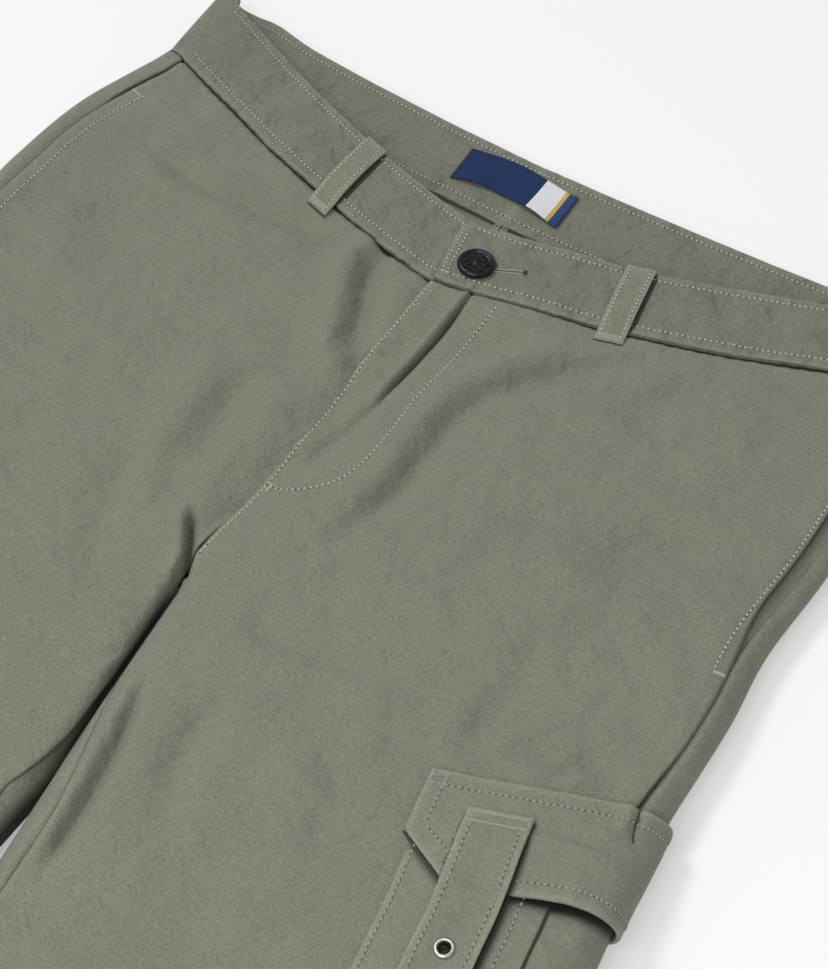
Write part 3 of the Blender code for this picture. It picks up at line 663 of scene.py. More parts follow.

# %% [markdown]
# ## Front and back panels
#
# A front panel runs from the fly out to the side seam, and a back panel goes from the
# inseam underneath and round the rolled side. Along each seam the cloth is drawn down a
# little, which is how a sewn seam looks, and small puckers ride along it. The columns
# are closest beside the fly, where the sharpest crease lies. The crack of a seam, the
# gape of a side pocket and the wall between the two legs get little light, so their shade
# is painted into the cloth's colour through an attribute.

# %% Rows of the panels
ROWS_IN_SPAN = (24, 24, 26, 20, 26, 27, 26, 24, 26, 26)
WAIST_ROWS = (0.20, 16)      # how much of the first span gets closer rows, and how many
OUTER_SEAM = {LEFT: 0.67, RIGHT: 0.96}   # the wrap where front and back meet, by side
CLOSE_COLUMNS = 0.016        # how far from the fly the columns stay close
LEAD = 1.8                   # the wrap where the columns of the side begin
UNDER_FLY = 0.005            # how far the right front runs on under the left
UNDER_BAND = 0.004           # how far a panel runs up into the waistband
FLY_LENGTH = 0.138
BAND_LAP = 0.022             # how far the band's left end laps over its right end
LAP_ENDS = (BAND_LAP * 1.9, BAND_LAP * 3.4)   # the left front lies higher up to here
LEGS_FROM, LEGS_FULLY = -0.190, -0.215   # the centre seam becomes two inner leg seams here
FLY_FROM, FLY_FULLY = -0.170, -0.150     # the lap of the fly fades in here, going up
HEM_TURN = 0.019             # how far the hem is turned up


def spread(start, end, step):
    """Evenly spaced values from start to, not including, end, which may be the lesser."""
    count = max(int(round(abs(end - start) / step)), 1)
    return [start + (end - start) * index / count for index in range(count)]


def panel_places():
    """Places of the rows of a panel, counted in rows of the table of sections."""
    reach, count = WAIST_ROWS
    places = [reach * step / count for step in range(count)]
    places += [reach + (1 - reach) * step / ROWS_IN_SPAN[0] for step in range(ROWS_IN_SPAN[0])]
    for span, count in enumerate(ROWS_IN_SPAN[1:], 1):
        places += [span + step / count for step in range(count)]
    return places + [len(ROWS_IN_SPAN)]


def seam_wrap(section, side):
    """The side seam runs forward just above the left cargo flap, where the cloth folds."""
    pulled = smooth_step(-0.146, -0.190, section.outer_y) if side == LEFT else 0.0
    pulled *= smooth_step(-0.260, -0.210, section.outer_y)
    return OUTER_SEAM[side] + 0.12 * pulled


def seam_sink(gap, depth=0.0010, reach=0.0015):
    """How far cloth is drawn down beside a seam that is gap away."""
    return -depth * np.exp(-(gap / reach) ** 2)


def front_row(section, side):
    """One row of a front panel, from the fly or inseam out to the side seam."""
    start = math.acos(1 - section.inseam / INNER_ROLL)
    row = [inner_point(section, side, start + (math.pi / 2 - start) * step / 12, True)
            for step in range(12)]
    begin = inner_x(section, side) - side * section.fly_x + INNER_ROLL
    fine = begin + CLOSE_COLUMNS
    end = section.outer_x - EDGE_ROLL * LEAD
    row += [top_point(section, side, begin + (fine - begin) * step / 16) for step in range(16)]
    row += [top_point(section, side, fine + (end - fine) * step / 72) for step in range(72)]
    first = seam_wrap(section, side) + SEAM / 2 / EDGE_ROLL
    row += [outer_point(section, side, LEAD - (LEAD - first) * step / 16) for step in range(17)]
    return row


def back_row(section, side):
    """One row of a back panel, from the inseam under the leg and up to the side seam."""
    start = math.acos(1 - section.inseam / INNER_ROLL) - SEAM / INNER_ROLL * section.groove
    row = [inner_point(section, side, start - (math.pi / 2 + start) * step / 8, False)
           for step in range(8)]
    begin = inner_x(section, side) + INNER_ROLL
    end = section.outer_x - EDGE_ROLL
    for step in range(22):
        x = begin + (end - begin) * step / 22
        row.append(settle(section, side, x, cross_y(section, side, x, False), 0.0, 0.0))
    last = seam_wrap(section, side) - SEAM / 2 / EDGE_ROLL
    row += [outer_point(section, side, -1 + (last + 1) * step / 24) for step in range(25)]
    return row


print("a panel has", len(panel_places()), "rows")

# %% [markdown]
# ### Seams, puckers and cracks
#
# These helpers work on whole arrays at once, because a panel has about thirty thousand
# points. They answer one question each: how far cloth sinks beside a seam, how stitches
# pucker it, and how much shade is painted where it lies deep in a crack.

# %% Helpers for seams and cracks
def smooth(low, high, values):
    """The same soft step for a whole array."""
    share = np.clip((values - low) / (high - low), 0.0, 1.0)
    return share * share * (3 - 2 * share)


def shade_beside(gap, reach=0.0013):
    """Painted shade in the crack beside an edge: 1 at the edge and under it, 0 a little away."""
    return 0.97 * np.exp(-(np.maximum(gap, 0.0) / reach) ** 2)


def puckers(run, gap, height=0.00016, length=0.0072, reach=0.006):
    """The small regular waves that a row of stitches draws in the cloth beside it."""
    wave = np.sin(run / length * 2 * math.pi + 2.2 * np.sin(run / 0.037))
    return height * wave * np.exp(-(gap / reach) ** 2)


def leg_share(y):
    """0 above the crotch and 1 on the legs."""
    return 1 - smooth(LEGS_FULLY, LEGS_FROM, y)


def shade_between_legs(inner, places):
    """Painted shade on the wall of cloth that faces the other leg, where the legs lie close."""
    y = places[:, :1, 1]
    close = smooth(-0.40, -0.32, y) * (1 - smooth(-0.215, -0.195, y))
    low = 1 - smooth(0.0150, 0.0200, places[..., 2])
    return 0.93 * close * low * (1 - smooth(0.040, 0.050, inner))


def gaping(side_y, top=0.022, bottom=-0.114):
    """1 along the opening of a side pocket, 0 above and below it."""
    return smooth(bottom, bottom + 0.04, side_y) * (1 - smooth(top - 0.03, top, side_y))


def side_seam_shade(side_y):
    """Painted shade in the crack of a side seam: a faint line where it is closed, dark where it gapes or
    folds over.
    """
    folded = smooth(-0.152, -0.176, side_y)
    return 0.45 + 0.55 * np.maximum(gaping(side_y, 0.070), folded)


print("a crack is dark to", round(float(shade_beside(0.0)), 2))

# %% [markdown]
# ### Moving and building the panels
#
# Each panel is first laid out as even rows, and then these functions move its points:
# the right front runs on under the left at the fly, the tops run up into the band, and
# the edges of the side pockets gape.

# %% The four panels
def front_moves(side):
    """Seams, the lap of the fly and the pocket opening of a front panel, and the shade painted in its
    cracks.
    """
    def move(across, along, places):
        inner = across - across[:, :1]
        outer = across[:, -1:] - across
        y = places[:, :1, 1]
        fly = smooth(FLY_FROM, FLY_FULLY, y)
        legs = leg_share(y)
        if side == RIGHT:
            places[..., 0] += UNDER_FLY * fly * (1 - smooth(0.0, 0.016, inner))
            places[..., 2] -= 0.0011 * np.maximum(fly, 1 - legs) * (1 - smooth(0.002, 0.010, inner))
        else:
            places[..., 2] += 0.0007 * np.maximum(fly, 1 - legs) * (1 - smooth(0.002, 0.009, inner))
        places[..., 2] += seam_sink(inner) * legs
        gape = gaping(places[:, -1:, 1])
        edge = gape * np.exp(-(outer / 0.012) ** 2)
        places[..., 0] -= side * (0.0030 if side == LEFT else 0.0010) * edge
        places[..., 2] += seam_sink(outer) * (1 - gape) + 0.0016 * edge
        places[..., 2] += puckers(along, np.abs(outer - 0.006)) + puckers(along + 0.3, inner)
        if side == LEFT:
            lapped = 1 - smooth(*LAP_ENDS, places[..., 0])
            places[..., 2] += (BAND_WALL + SEAM) * lapped * (1 - smooth(0.004, 0.034, along))
        places[..., 1] += UNDER_BAND * (1 - smooth(0.0, 0.014, along))
        places[..., 2] -= 0.0016 * (1 - smooth(0.0044, 0.0064, along))
        places[..., 2] += puckers(across, along - 0.006, 0.00022)
        hem = along[-1:] - along
        places[..., 2] += 0.0005 * (1 - smooth(HEM_TURN, HEM_TURN + 0.0015, hem))
        places[..., 2] += puckers(across, hem - HEM_TURN)
        # Painted shade under the band's lower edge, in the side seam, on the wall between the legs and at
        # the inseam.
        shadow = shade_beside(along - 0.0044, 0.0006)
        shadow = np.maximum(shadow, shade_beside(outer, 0.0007) * side_seam_shade(places[:, -1:, 1]))
        if side == RIGHT:
            shadow = np.maximum(shadow, shade_between_legs(inner, places))
        return np.maximum(shadow, 0.7 * shade_beside(inner, 0.0008) * (legs if side == LEFT else 1.0))
    return move


def back_moves(side):
    """Seams of a back panel, which has no creases on its flat underside, and the shade painted in its
    cracks.
    """
    def move(across, along, places):
        inner = across - across[:, :1]
        outer = across[:, -1:] - across
        y = places[:, :1, 1]
        legs = leg_share(y)
        gape = gaping(places[:, -1:, 1])
        places[..., 2] += seam_sink(inner) * legs + seam_sink(outer) * (1 + 0.9 * gape)
        places[..., 1] += UNDER_BAND * (1 - smooth(0.0, 0.014, along))
        places[..., 2] -= 0.0022 * gape * np.exp(-(outer / 0.006) ** 2)
        # Painted shade in the side seam, on the wall between the legs and under the band's lower edge.
        shadow = shade_beside(outer, 0.0009) * side_seam_shade(places[:, -1:, 1])
        if side == RIGHT:
            shadow = np.maximum(shadow, shade_between_legs(inner, places))
        return np.maximum(shadow, shade_beside(np.abs(along - 0.0043), 0.0008))
    return move


def panel(name, row_of, side, moves):
    """Build and declare one panel."""
    rows = [row_of(section_at(place), side) for place in panel_places()]
    cloth(name, rows, PANEL_WALL, twill, move=moves)
    declare_cloth(name)


for side in (LEFT, RIGHT):
    back = "back_" + SUFFIX[side]
    panel(back, back_row, side, back_moves(side))
    panel("front_" + SUFFIX[side], front_row, side, front_moves(side))

# %% [markdown]
# ## The waistband
#
# A waistband is a strip of cloth folded in two along its top, four centimetres high. Its
# folded edges are soft, so it gets more thickness than a panel and a rounder edge. Its
# points come from the waist seam: the same points as the panels' tops, moved up. The
# left end laps over the right end, so that side is lifted where they meet.

# %% Points of the waistband
BAND_HEIGHT = 0.040
BAND_SEAM = 0.0005
BAND_SIDE_STRETCH = {LEFT: 0.078, RIGHT: 0.24}   # how much taller it looks at the side
BAND_FLARE = 0.025
BAND_DROOP = 0.001           # how far the front sinks at its top
BAND_BACK_RISE = 0.004       # how far the back stands up at its top
BAND_BACK_BUMP = 0.0036      # how far the right back's top runs up beside the side seam
BAND_END_LEAN = 0.0065
BAND_END_DROP = 0.005
BAND_CREASES = (
    (((-0.0125, 0.001), (-0.0140, 0.016), (-0.0135, 0.030)), 0.0035, 0.0012, 0.6),
    (((-0.052, 0.010), (-0.049, 0.022), (-0.047, 0.034)), 0.0050, 0.0006, 0.5),
    (((-0.092, 0.022), (-0.100, 0.030), (-0.112, 0.034)), 0.0045, 0.0007, 0.5),
    (((-0.118, 0.020), (-0.126, 0.040), (-0.130, 0.052)), 0.0055, 0.0009, 0.5),
    (((-0.150, 0.040), (-0.158, 0.050), (-0.170, 0.058)), 0.0045, 0.0008, 0.5),
    (((-0.174, 0.050), (-0.180, 0.068), (-0.182, 0.082)), 0.0055, 0.0010, 0.5),
    (((0.026, 0.010), (0.034, 0.018), (0.047, 0.022)), 0.0050, 0.0006, 0.5),
    (((0.052, 0.012), (0.060, 0.026), (0.064, 0.040)), 0.0060, 0.0008, 0.5),
    (((0.100, 0.030), (0.110, 0.040), (0.124, 0.044)), 0.0050, 0.0007, 0.5),
    (((0.136, 0.036), (0.146, 0.052), (0.150, 0.066)), 0.0065, 0.0009, 0.5),
    (((0.168, 0.052), (0.176, 0.066), (0.188, 0.074)), 0.0055, 0.0009, 0.5),
)


def band_lift(side, x, rise, front):
    """How far the band stands above the waist seam."""
    share = min(abs(x) / section_at(0.0).outer_x, 1.0)
    if not front:
        return BAND_BACK_RISE * rise * (1 - smooth_step(0.80, 0.92, share))
    lap = 0.0
    if side == LEFT:
        lap = (BAND_WALL + SEAM) * (1 - smooth_step(*LAP_ENDS, x))
    return lap - BAND_DROOP * rise * (1 - smooth_step(0.45, 0.95, share))


def band_over(side, seam_point, rise, front):
    """The point of the band over a point of the waist seam, rise from 0 to 1."""
    x = side * seam_point[0]
    share = min(abs(x) / section_at(0.0).outer_x, 1.0)
    stretch = 1 + BAND_SIDE_STRETCH[side] * share ** 2
    y = seam_point[1] + BAND_SEAM + rise * BAND_HEIGHT * stretch
    if side == RIGHT and not front:
        y += BAND_BACK_BUMP * rise * smooth_step(0.68, 0.86, share) * smooth_step(1.0, 0.95, share)
    z = seam_point[2] + band_lift(side, x, rise, front)
    return (seam_point[0] * (1 + BAND_FLARE * rise), y, z, 0.5)


def band_point(side, x, rise, front, out=0.0):
    """A point of the band at x, or a little out from it."""
    waist = section_at(0.0)
    if front:
        seam_point = top_point(waist, side, x)
    else:
        seam_point = settle(waist, side, x, cross_y(waist, side, x, False), 0.0, 0.0)
    point = band_over(side, seam_point, rise, front)
    return (point[0], point[1], point[2] + out, point[3])


print("the waistband is", BAND_HEIGHT * 1000, "mm high")

# %% [markdown]
# ### The two halves of the band
#
# The row of points under each half runs from its front end round the side to the centre
# back, and is repeated at seventeen heights. The right half runs on under the lap, and the
# left half's end leans a little, as it does when it is buttoned.

# %% Build the waistband
def waistband(side):
    """The rows of one half of the band, from its front end round to the centre back."""
    waist = section_at(0.0)
    front, back = front_row(waist, side), back_row(waist, side)
    if side == RIGHT:
        lap = [top_point(waist, LEFT, BAND_LAP * step / 12) for step in range(13)]
        lap = [(x, y + 3 * SEAM, z, share) for x, y, z, share in lap]
        front = lap[:0:-1] + front[2:]
    rows = []
    for step in range(17):
        rise = -0.03 + 1.03 * step / 16
        row = [band_over(side, point, rise, True) for point in front[:-1]]
        row += [band_over(side, point, rise, False) for point in reversed(back)]
        row[-1] = (-side * SEAM, *row[-1][1:])
        if side == LEFT:
            for index in range(12):
                x, y, z, share = row[index]
                near = 1 - index / 12
                row[index] = (x - BAND_END_LEAN * rise * near ** 2, y - BAND_END_DROP * rise * near,
                              z, share)
        rows.append(row)
    return rows


def band_moves(across, along, places):
    """Puckers and grooves along the two rows of stitches of the band."""
    top = along[-1:] - along
    places[..., 2] += puckers(across, top - 0.004, 0.00022, 0.0083)
    places[..., 2] += puckers(across + 0.4, along - 0.004, 0.00026, 0.0078)
    places[..., 1] += 0.0003 * np.sin(across / 0.0165 + 1.3 * np.sin(across / 0.05)) * np.exp(
        -(along / 0.006) ** 2)
    places[..., 2] -= 0.0003 * np.exp(-((top - 0.0035) / 0.0012) ** 2)
    places[..., 2] -= 0.0003 * np.exp(-((along - 0.0042) / 0.0012) ** 2)
    return np.zeros_like(across)


for side in (RIGHT, LEFT):
    name = "waistband_" + SUFFIX[side]
    cloth(name, waistband(side), BAND_WALL, band_twill, BAND_CREASES, 0.8,
          soft_edge=0.0009, move=band_moves)
    declare_cloth(name)

# %% [markdown]
# ## Belt loops
#
# A belt loop is a folded strip, sewn down at its two ends and free between them. In mesh
# code that is a narrow grid that follows the band at a little distance and arches in the
# middle. The three at the back lie underneath, where the garment rests on them.

# %% The belt loops
LOOP_WIDTH = 0.013
LOOP_BELOW = 0.010
LOOP_ARCH = 0.0016
FRONT_LOOPS = ((LEFT, 0.082, -0.22), (RIGHT, 0.074, -0.06))   # side, place and lean
BACK_LOOPS = (("left", 0.110), ("centre", 0.0), ("right", -0.110))


def front_loop(side, x, lean):
    """The rows of a loop that is sewn down at both ends and arches between them."""
    clear = (BAND_WALL + LOOP_WALL) / 2 + SEAM
    rows = []
    for step in range(31):
        share = step / 30
        rise = -LOOP_BELOW / BAND_HEIGHT + share * (1.02 + LOOP_BELOW / BAND_HEIGHT)
        arch = LOOP_ARCH * math.sin(math.pi * share) ** 0.8
        sit = -0.0009 * (1 - smooth_step(0.10, 0.30, share))
        row = []
        for column in range(9):
            place = x + lean * rise * BAND_HEIGHT + (column / 8 - 0.5) * LOOP_WIDTH
            row.append(band_point(side, place, rise, True, clear + arch + sit))
        rows.append(row)
    return rows


def back_loop(x):
    """The rows of a loop that lies flat under the band."""
    clear = (BAND_WALL + LOOP_WALL) / 2 + SEAM
    side = LEFT if x >= 0 else RIGHT
    rows = []
    for step in range(13):
        rise = -0.10 + 1.10 * step / 12
        point = band_point(side, abs(x), rise, False)
        rows.append([(x + (column / 4 - 0.5) * LOOP_WIDTH, point[1], point[2] - clear, 0.0)
                     for column in range(5)])
    return rows


loop_twill = cloth_material("olive_twill_loops", tuple(c * 1.03 for c in TWILL), wear=0.40)
for side, x, lean in FRONT_LOOPS:
    name = "belt_loop_front_" + SUFFIX[side]
    cloth(name, front_loop(side, x, lean), LOOP_WALL, loop_twill, (), 0.9, soft_edge=0.0006)
    declare_cloth(name)
for suffix, x in BACK_LOOPS:
    name = "belt_loop_back_" + suffix
    cloth(name, back_loop(x), LOOP_WALL, loop_twill, (), 0.0, soft_edge=0.0006)
    declare_cloth(name)

# %% [markdown]
# ## Fly shield, zip and side pockets
#
# Under the left front lie the zip's tape and the fly shield, and inside each side pocket
# a strip of the outer cloth shows, which a cutter calls the facing. They are strips of
# the same sections, moved in by one or two walls.

# %% The hidden strips
FLY_WIDTH = 0.036
SIDE_POCKET = (0.030, -0.115)


def fly_strip(start, end, length, layer):
    """A strip under the left front, one or two layers down."""
    rows = []
    for step in range(41):
        section = section_where("front_y", -0.003 - length * step / 40)
        down = -layer * (WALL + SEAM * 2.0) - 0.0005
        rows.append([top_point(section, LEFT, start + (end - start) * column / 14, down)
                     for column in range(15)])
    return rows


def facing(side):
    """The strip of outer cloth that shows inside a side pocket."""
    top, bottom = SIDE_POCKET
    rows = []
    for step in range(41):
        section = section_where("outer_y", top + (bottom - top) * step / 40)
        wraps = [2.6 - 2.6 * column / 24 for column in range(25)]
        rows.append([outer_point(section, side, wrap, -(WALL + SEAM * 3)) for wrap in wraps])
    return rows


for name, start, end, length, layer, material, slot in (
        ("zip", -0.010, 0.018, FLY_LENGTH - 0.012, 1, tape, "zip_tape"),
        ("fly_shield", -0.012, FLY_WIDTH - 0.012, FLY_LENGTH, 2, inner_twill, "twill_inside")):
    cloth(name, fly_strip(start, end, length, layer), PANEL_WALL, material)
    declare_cloth(name)
for side in (LEFT, RIGHT):
    name = "side_pocket_" + SUFFIX[side]
    cloth(name, facing(side), PANEL_WALL, twill)
    declare_cloth(name)

# %% [markdown]
# ## The cargo pockets
#
# A bellows pocket stands off the leg: its sewn edges are down and its middle puffs up. A
# box pleat runs down it, so the cloth between two fold lines lies lower. The flap is
# doubled cloth with cut corners, and its lower edge lifts away from the pocket, which
# gives the dark shadow under it. A strap with an eyelet is sewn across the flap. Where one
# layer covers another, shade is painted on the lower one beside and under the upper one's
# edge.
#
# All of them are placed by girth, the distance round the leg from its outermost line,
# and by drop, the distance below the flap's seam.

# %% Forms of the pocket, flap and strap
FLAP_HEIGHT = 0.0485
FLAP_CORNER = 0.020
FLAP_FRONT, FLAP_BACK = 0.092, -0.066
POCKET_FRONT, POCKET_BACK = 0.089, -0.063
POCKET_PUFF = 0.0030
POCKET_LEAN = 0.0085          # how far the pocket's front leans back towards the side
PLEAT_FRONT, PLEAT_BACK = 0.0345, -0.012
PLEAT_DEPTH = 0.0017
FLAP_CLEAR = 0.0005
FLAP_WALL = 0.0018
FLAP_EDGE_LIFT = 0.0024
STRAP_GIRTH = 0.0618
STRAP_WIDTH = 0.0235
STRAP_TOP, STRAP_END = 0.0155, 0.094
EYELET_DROP = 0.0752
EYELET_RADIUS, EYELET_HOLE = 0.0042, 0.0024


def puff(wrap, girth, drop):
    """How far the bellows of the pocket puffs up."""
    across = smooth_step(0.0, 0.020, POCKET_FRONT - girth)
    down = smooth_step(0.0, 0.03, drop) * smooth_step(0.0, 0.03, POCKET_HEIGHT - drop)
    return POCKET_PUFF * across * down * smooth_step(-0.7, 1.1, wrap)


def pocket_out(section, girth, drop):
    """How far the pocket's cloth stands off the leg."""
    wrap = wrap_of(section, girth)
    fold = smooth_step(PLEAT_FRONT + 0.0006, PLEAT_FRONT - 0.0006, girth)
    fold *= smooth_step(PLEAT_BACK - 0.006, PLEAT_BACK + 0.006, girth)
    body = puff(wrap, girth, drop)
    pleat = PLEAT_DEPTH * fold * min(body / (POCKET_PUFF * 0.7), 1.0)
    bulge = 0.0016 * math.exp(-((girth - 0.022) / 0.014) ** 2) * smooth_step(0.045, 0.075, drop)
    bulge *= smooth_step(0.184, 0.12, drop)
    return WALL + SEAM + body - pleat + bulge


def flap_out(section, girth, drop):
    """How far the flap's cloth stands off the leg."""
    wrap = wrap_of(section, girth)
    flat = 2 * (WALL + SEAM) + FLAP_CLEAR + puff(wrap, girth, drop)
    side = smooth_step(0.050, 0.036, girth) * smooth_step(0.000, 0.022, girth)
    lift = FLAP_EDGE_LIFT * smooth_step(0.012, FLAP_HEIGHT, drop) * side
    sewn = 0.0006 * math.exp(-((drop - 0.0066) / 0.0016) ** 2)
    return flat + lift - sewn - 0.0005 * (1 - smooth_step(0.0, 0.004, drop))


def strap_out(section, girth, drop):
    """How far the strap's cloth stands off the leg."""
    wrap = wrap_of(section, STRAP_GIRTH)
    over_flap = 2 * (WALL + SEAM) + FLAP_CLEAR + puff(wrap, STRAP_GIRTH, drop)
    past = 0.0012 * smooth_step(FLAP_HEIGHT, FLAP_HEIGHT + 0.010, drop)
    rear = smooth_step(STRAP_GIRTH, STRAP_GIRTH - STRAP_WIDTH / 2, girth)
    lift = 0.0020 * rear * smooth_step(STRAP_TOP + 0.004, STRAP_TOP + 0.016, drop)
    return over_flap + (FLAP_WALL + LOOP_WALL) / 2 + SEAM - past + lift


def pocket_place(side, girth, drop, out_of, extra=0.0):
    """A point at a girth and a drop, on the pocket, the flap or the strap."""
    section = section_where("outer_y", CARGO_TOP - drop)
    out = out_of(section, girth, drop) + extra
    lean = POCKET_LEAN * smooth_step(-0.02, 0.065, drop) * smooth_step(0.0, 0.045, girth)
    return outer_point(section, side, wrap_of(section, girth - lean), out)


print("a flap is", FLAP_FRONT - FLAP_BACK, "m round the leg")

# %% [markdown]
# ### Rows and painted shade of the pocket
#
# The rows and columns lie close together only at the folds and below the flap, which
# keeps the pocket light. The painted shade at its edges is worked out in the same girths
# and drops.

# %% Rows of the pocket, flap and strap
def under_flap(girth, drop):
    """Painted shade on the pocket beside and under the flap, and beside the strap."""
    edge = np.minimum(FLAP_HEIGHT, FLAP_HEIGHT - FLAP_CORNER + FLAP_FRONT - girth)
    rear = STRAP_GIRTH - STRAP_WIDTH / 2 - girth
    under = shade_beside(rear) * (drop < STRAP_END) * (rear > -STRAP_WIDTH)
    return np.maximum(shade_beside(drop - edge, 0.0030), under)


def under_strap(girth, drop):
    """Painted shade on the flap behind the strap."""
    rear = STRAP_GIRTH - STRAP_WIDTH / 2 - girth
    return shade_beside(rear) * (drop > STRAP_TOP + 0.002) * (rear > -STRAP_WIDTH)


def pocket_girths():
    """Columns of the pocket, close together at the folds of the pleat."""
    girths = spread(POCKET_FRONT, PLEAT_FRONT + 0.003, 0.0024)
    girths += spread(PLEAT_FRONT + 0.003, PLEAT_FRONT - 0.003, 0.0006)
    girths += spread(PLEAT_FRONT - 0.003, PLEAT_BACK + 0.003, 0.0022)
    girths += spread(PLEAT_BACK + 0.003, PLEAT_BACK - 0.003, 0.0006)
    girths += spread(PLEAT_BACK - 0.003, POCKET_BACK, 0.0028)
    return girths + [POCKET_BACK]


def pocket_drops():
    """Rows of the pocket, close together below the flap's edge."""
    drops = spread(0.008, 0.020, 0.0026) + spread(0.020, 0.055, 0.0009)
    return drops + spread(0.055, POCKET_HEIGHT, 0.0026) + [POCKET_HEIGHT]


def flap_girths(drop):
    """Columns of the flap, whose lower corners are cut off."""
    cut = max(drop - (FLAP_HEIGHT - FLAP_CORNER), 0.0)
    width = FLAP_BACK - FLAP_FRONT + 2 * cut
    return [FLAP_FRONT - cut + width * column / 144 for column in range(145)]


def pocket_shadow(across, along, places):
    girth, drop = np.meshgrid(pocket_girths(), pocket_drops())
    # Painted shade under the flap and the strap, and in the fold of the pleat.
    fold = shade_beside(np.abs(girth - PLEAT_FRONT + 0.0004), 0.0006) * (drop > FLAP_HEIGHT)
    return np.maximum(under_flap(girth, drop), 0.8 * fold)


def flap_shadow(across, along, places):
    drops = [FLAP_HEIGHT * step / 28 for step in range(29)]
    girth = np.array([flap_girths(drop) for drop in drops])
    return under_strap(girth, np.array(drops)[:, None])


def pocket_rows(side):
    return [[pocket_place(side, girth, drop, pocket_out) for girth in pocket_girths()]
            for drop in pocket_drops()]


def flap_rows(side):
    rows = []
    for step in range(29):
        drop = FLAP_HEIGHT * step / 28
        rows.append([pocket_place(side, girth, drop, flap_out) for girth in flap_girths(drop)])
    return rows


def strap_rows(side):
    rows = []
    for step in range(81):
        drop = STRAP_TOP + (STRAP_END - STRAP_TOP) * step / 80
        rows.append([
            pocket_place(side, STRAP_GIRTH + STRAP_WIDTH * (0.5 - column / 24), drop, strap_out)
            for column in range(25)])
    return rows


print("a pocket has", len(pocket_drops()), "rows and", len(pocket_girths()), "columns")

# %% [markdown]
# ### Laying the pockets on the legs
#
# The pocket, the flap and the strap have small creases of their own. These are given in
# girth and drop like everything on the pocket, and moved to their places on the leg. The
# hole under each eyelet is made by deleting the faces near its middle.

# %% The cargo pockets, flaps and straps
def spread_over(side, cells):
    """Creases given by girth and drop, moved to places on the laid garment."""
    placed = []
    for row in cells:
        crease = SimpleNamespace(**dict(zip(CREASE_COLUMNS, row)))
        points = [pocket_place(side, girth, drop, pocket_out)[:2] for girth, drop in crease.points]
        placed.append((tuple(points), crease.width, crease.depth, crease.ridge))
    return tuple(placed)


FLAP_CREASES = (
    (((0.058, 0.016), (0.042, 0.019), (0.024, 0.022), (0.008, 0.024)), 0.0026, 0.0011, 0.7),
    (((0.082, 0.010), (0.080, 0.024)), 0.0030, 0.0006, 0.6),
    (((0.030, 0.033), (0.020, 0.038), (0.014, 0.044)), 0.0040, 0.0007, 0.5),
    (((0.0190, -0.003), (0.0165, 0.006), (0.0165, 0.017)), 0.0022, 0.0026, 0.7),
    (((0.012, 0.002), (0.004, 0.010), (-0.008, 0.013)), 0.0030, 0.0012, 0.5),
)
POCKET_CREASES = (
    (((0.030, 0.058), (0.020, 0.070), (0.012, 0.078)), 0.0040, 0.0012, 0.6),
    (((0.026, 0.085), (0.016, 0.100), (0.010, 0.125)), 0.0050, 0.0012, 0.6),
    (((0.080, 0.120), (0.060, 0.132), (0.044, 0.128)), 0.0060, 0.0012, 0.6),
    (((0.078, 0.160), (0.060, 0.156), (0.046, 0.162)), 0.0050, 0.0010, 0.6),
)
STRAP_CREASES = (
    (((0.072, 0.044), (0.060, 0.0475), (0.047, 0.049)), 0.0030, 0.0009, 0.8),
    (((0.070, 0.030), (0.060, 0.027), (0.048, 0.029)), 0.0040, 0.0004, 0.6),
)


def cut_hole(name, centre, radius):
    """Delete the faces of a piece that lie under an eyelet."""
    mesh = pieces[name].data
    shape = bmesh.new()
    shape.from_mesh(mesh)
    inside = [face for face in shape.faces
              if (face.calc_center_median() - centre).length < radius]
    bmesh.ops.delete(shape, geom=inside, context="FACES")
    shape.to_mesh(mesh)
    shape.free()


pocket_twill = cloth_material("olive_twill_pocket", tuple(c * 1.02 for c in TWILL), wear=0.38)
for side in (LEFT, RIGHT):
    suffix = SUFFIX[side]
    pocket, flap, strap = ("cargo_" + kind + "_" + suffix for kind in ("pocket", "flap", "strap"))
    cloth(pocket, pocket_rows(side), PANEL_WALL, pocket_twill,
          spread_over(side, POCKET_CREASES), soft_edge=0.0003, move=pocket_shadow)
    cloth(flap, flap_rows(side), FLAP_WALL, pocket_twill,
          spread_over(side, FLAP_CREASES), soft_edge=0.0006, move=flap_shadow)
    cloth(strap, strap_rows(side), LOOP_WALL, loop_twill,
          spread_over(side, STRAP_CREASES), soft_edge=0.0005)
    eyelet_at = Vector(pocket_place(side, STRAP_GIRTH, EYELET_DROP, strap_out)[:3]) + Vector(SHIFT)
    cut_hole(strap, eyelet_at, 0.0030)
    declare_cloth(pocket)
    declare_cloth(flap)
    declare_cloth(strap)

# %% [markdown]
# ## The woven label
#
# A woven label is a satin ribbon in bands of colour. Its top and ends are sewn to the
# inside of the band at the back, and its lower edge stands off in a slow wave. The bands
# of colour read the UV map, and each change of colour is a hard stop on a colour ramp.

# %% The label
LABEL_SIZE = (0.060, 0.021)
LABEL_X = -0.007
LABEL_RISE = 0.52            # the height of its middle, as a share of the band


def label_rows():
    """The rows of the label, from its sewn top to its free lower edge."""
    rows = []
    for step in range(19):
        down = step / 18
        row = []
        for column in range(61):
            share = column / 60
            x = LABEL_X + LABEL_SIZE[0] * (share - 0.5)
            side = LEFT if x >= 0 else RIGHT
            rise = LABEL_RISE + (0.5 - down) * LABEL_SIZE[1] / BAND_HEIGHT
            rise += 0.060 * math.sin(math.pi * share) + 0.022 * math.sin(5.2 * share - 0.4)
            stand = 0.0030 * down ** 1.5 * math.sin(math.pi * share) ** 0.7
            stand *= 0.75 + 0.5 * math.sin(share * 9.0 + 0.6)
            out = (BAND_WALL + PANEL_WALL) / 2 + SEAM + stand
            row.append(band_point(side, abs(x), rise, False, out))
        rows.append(row)
    return rows


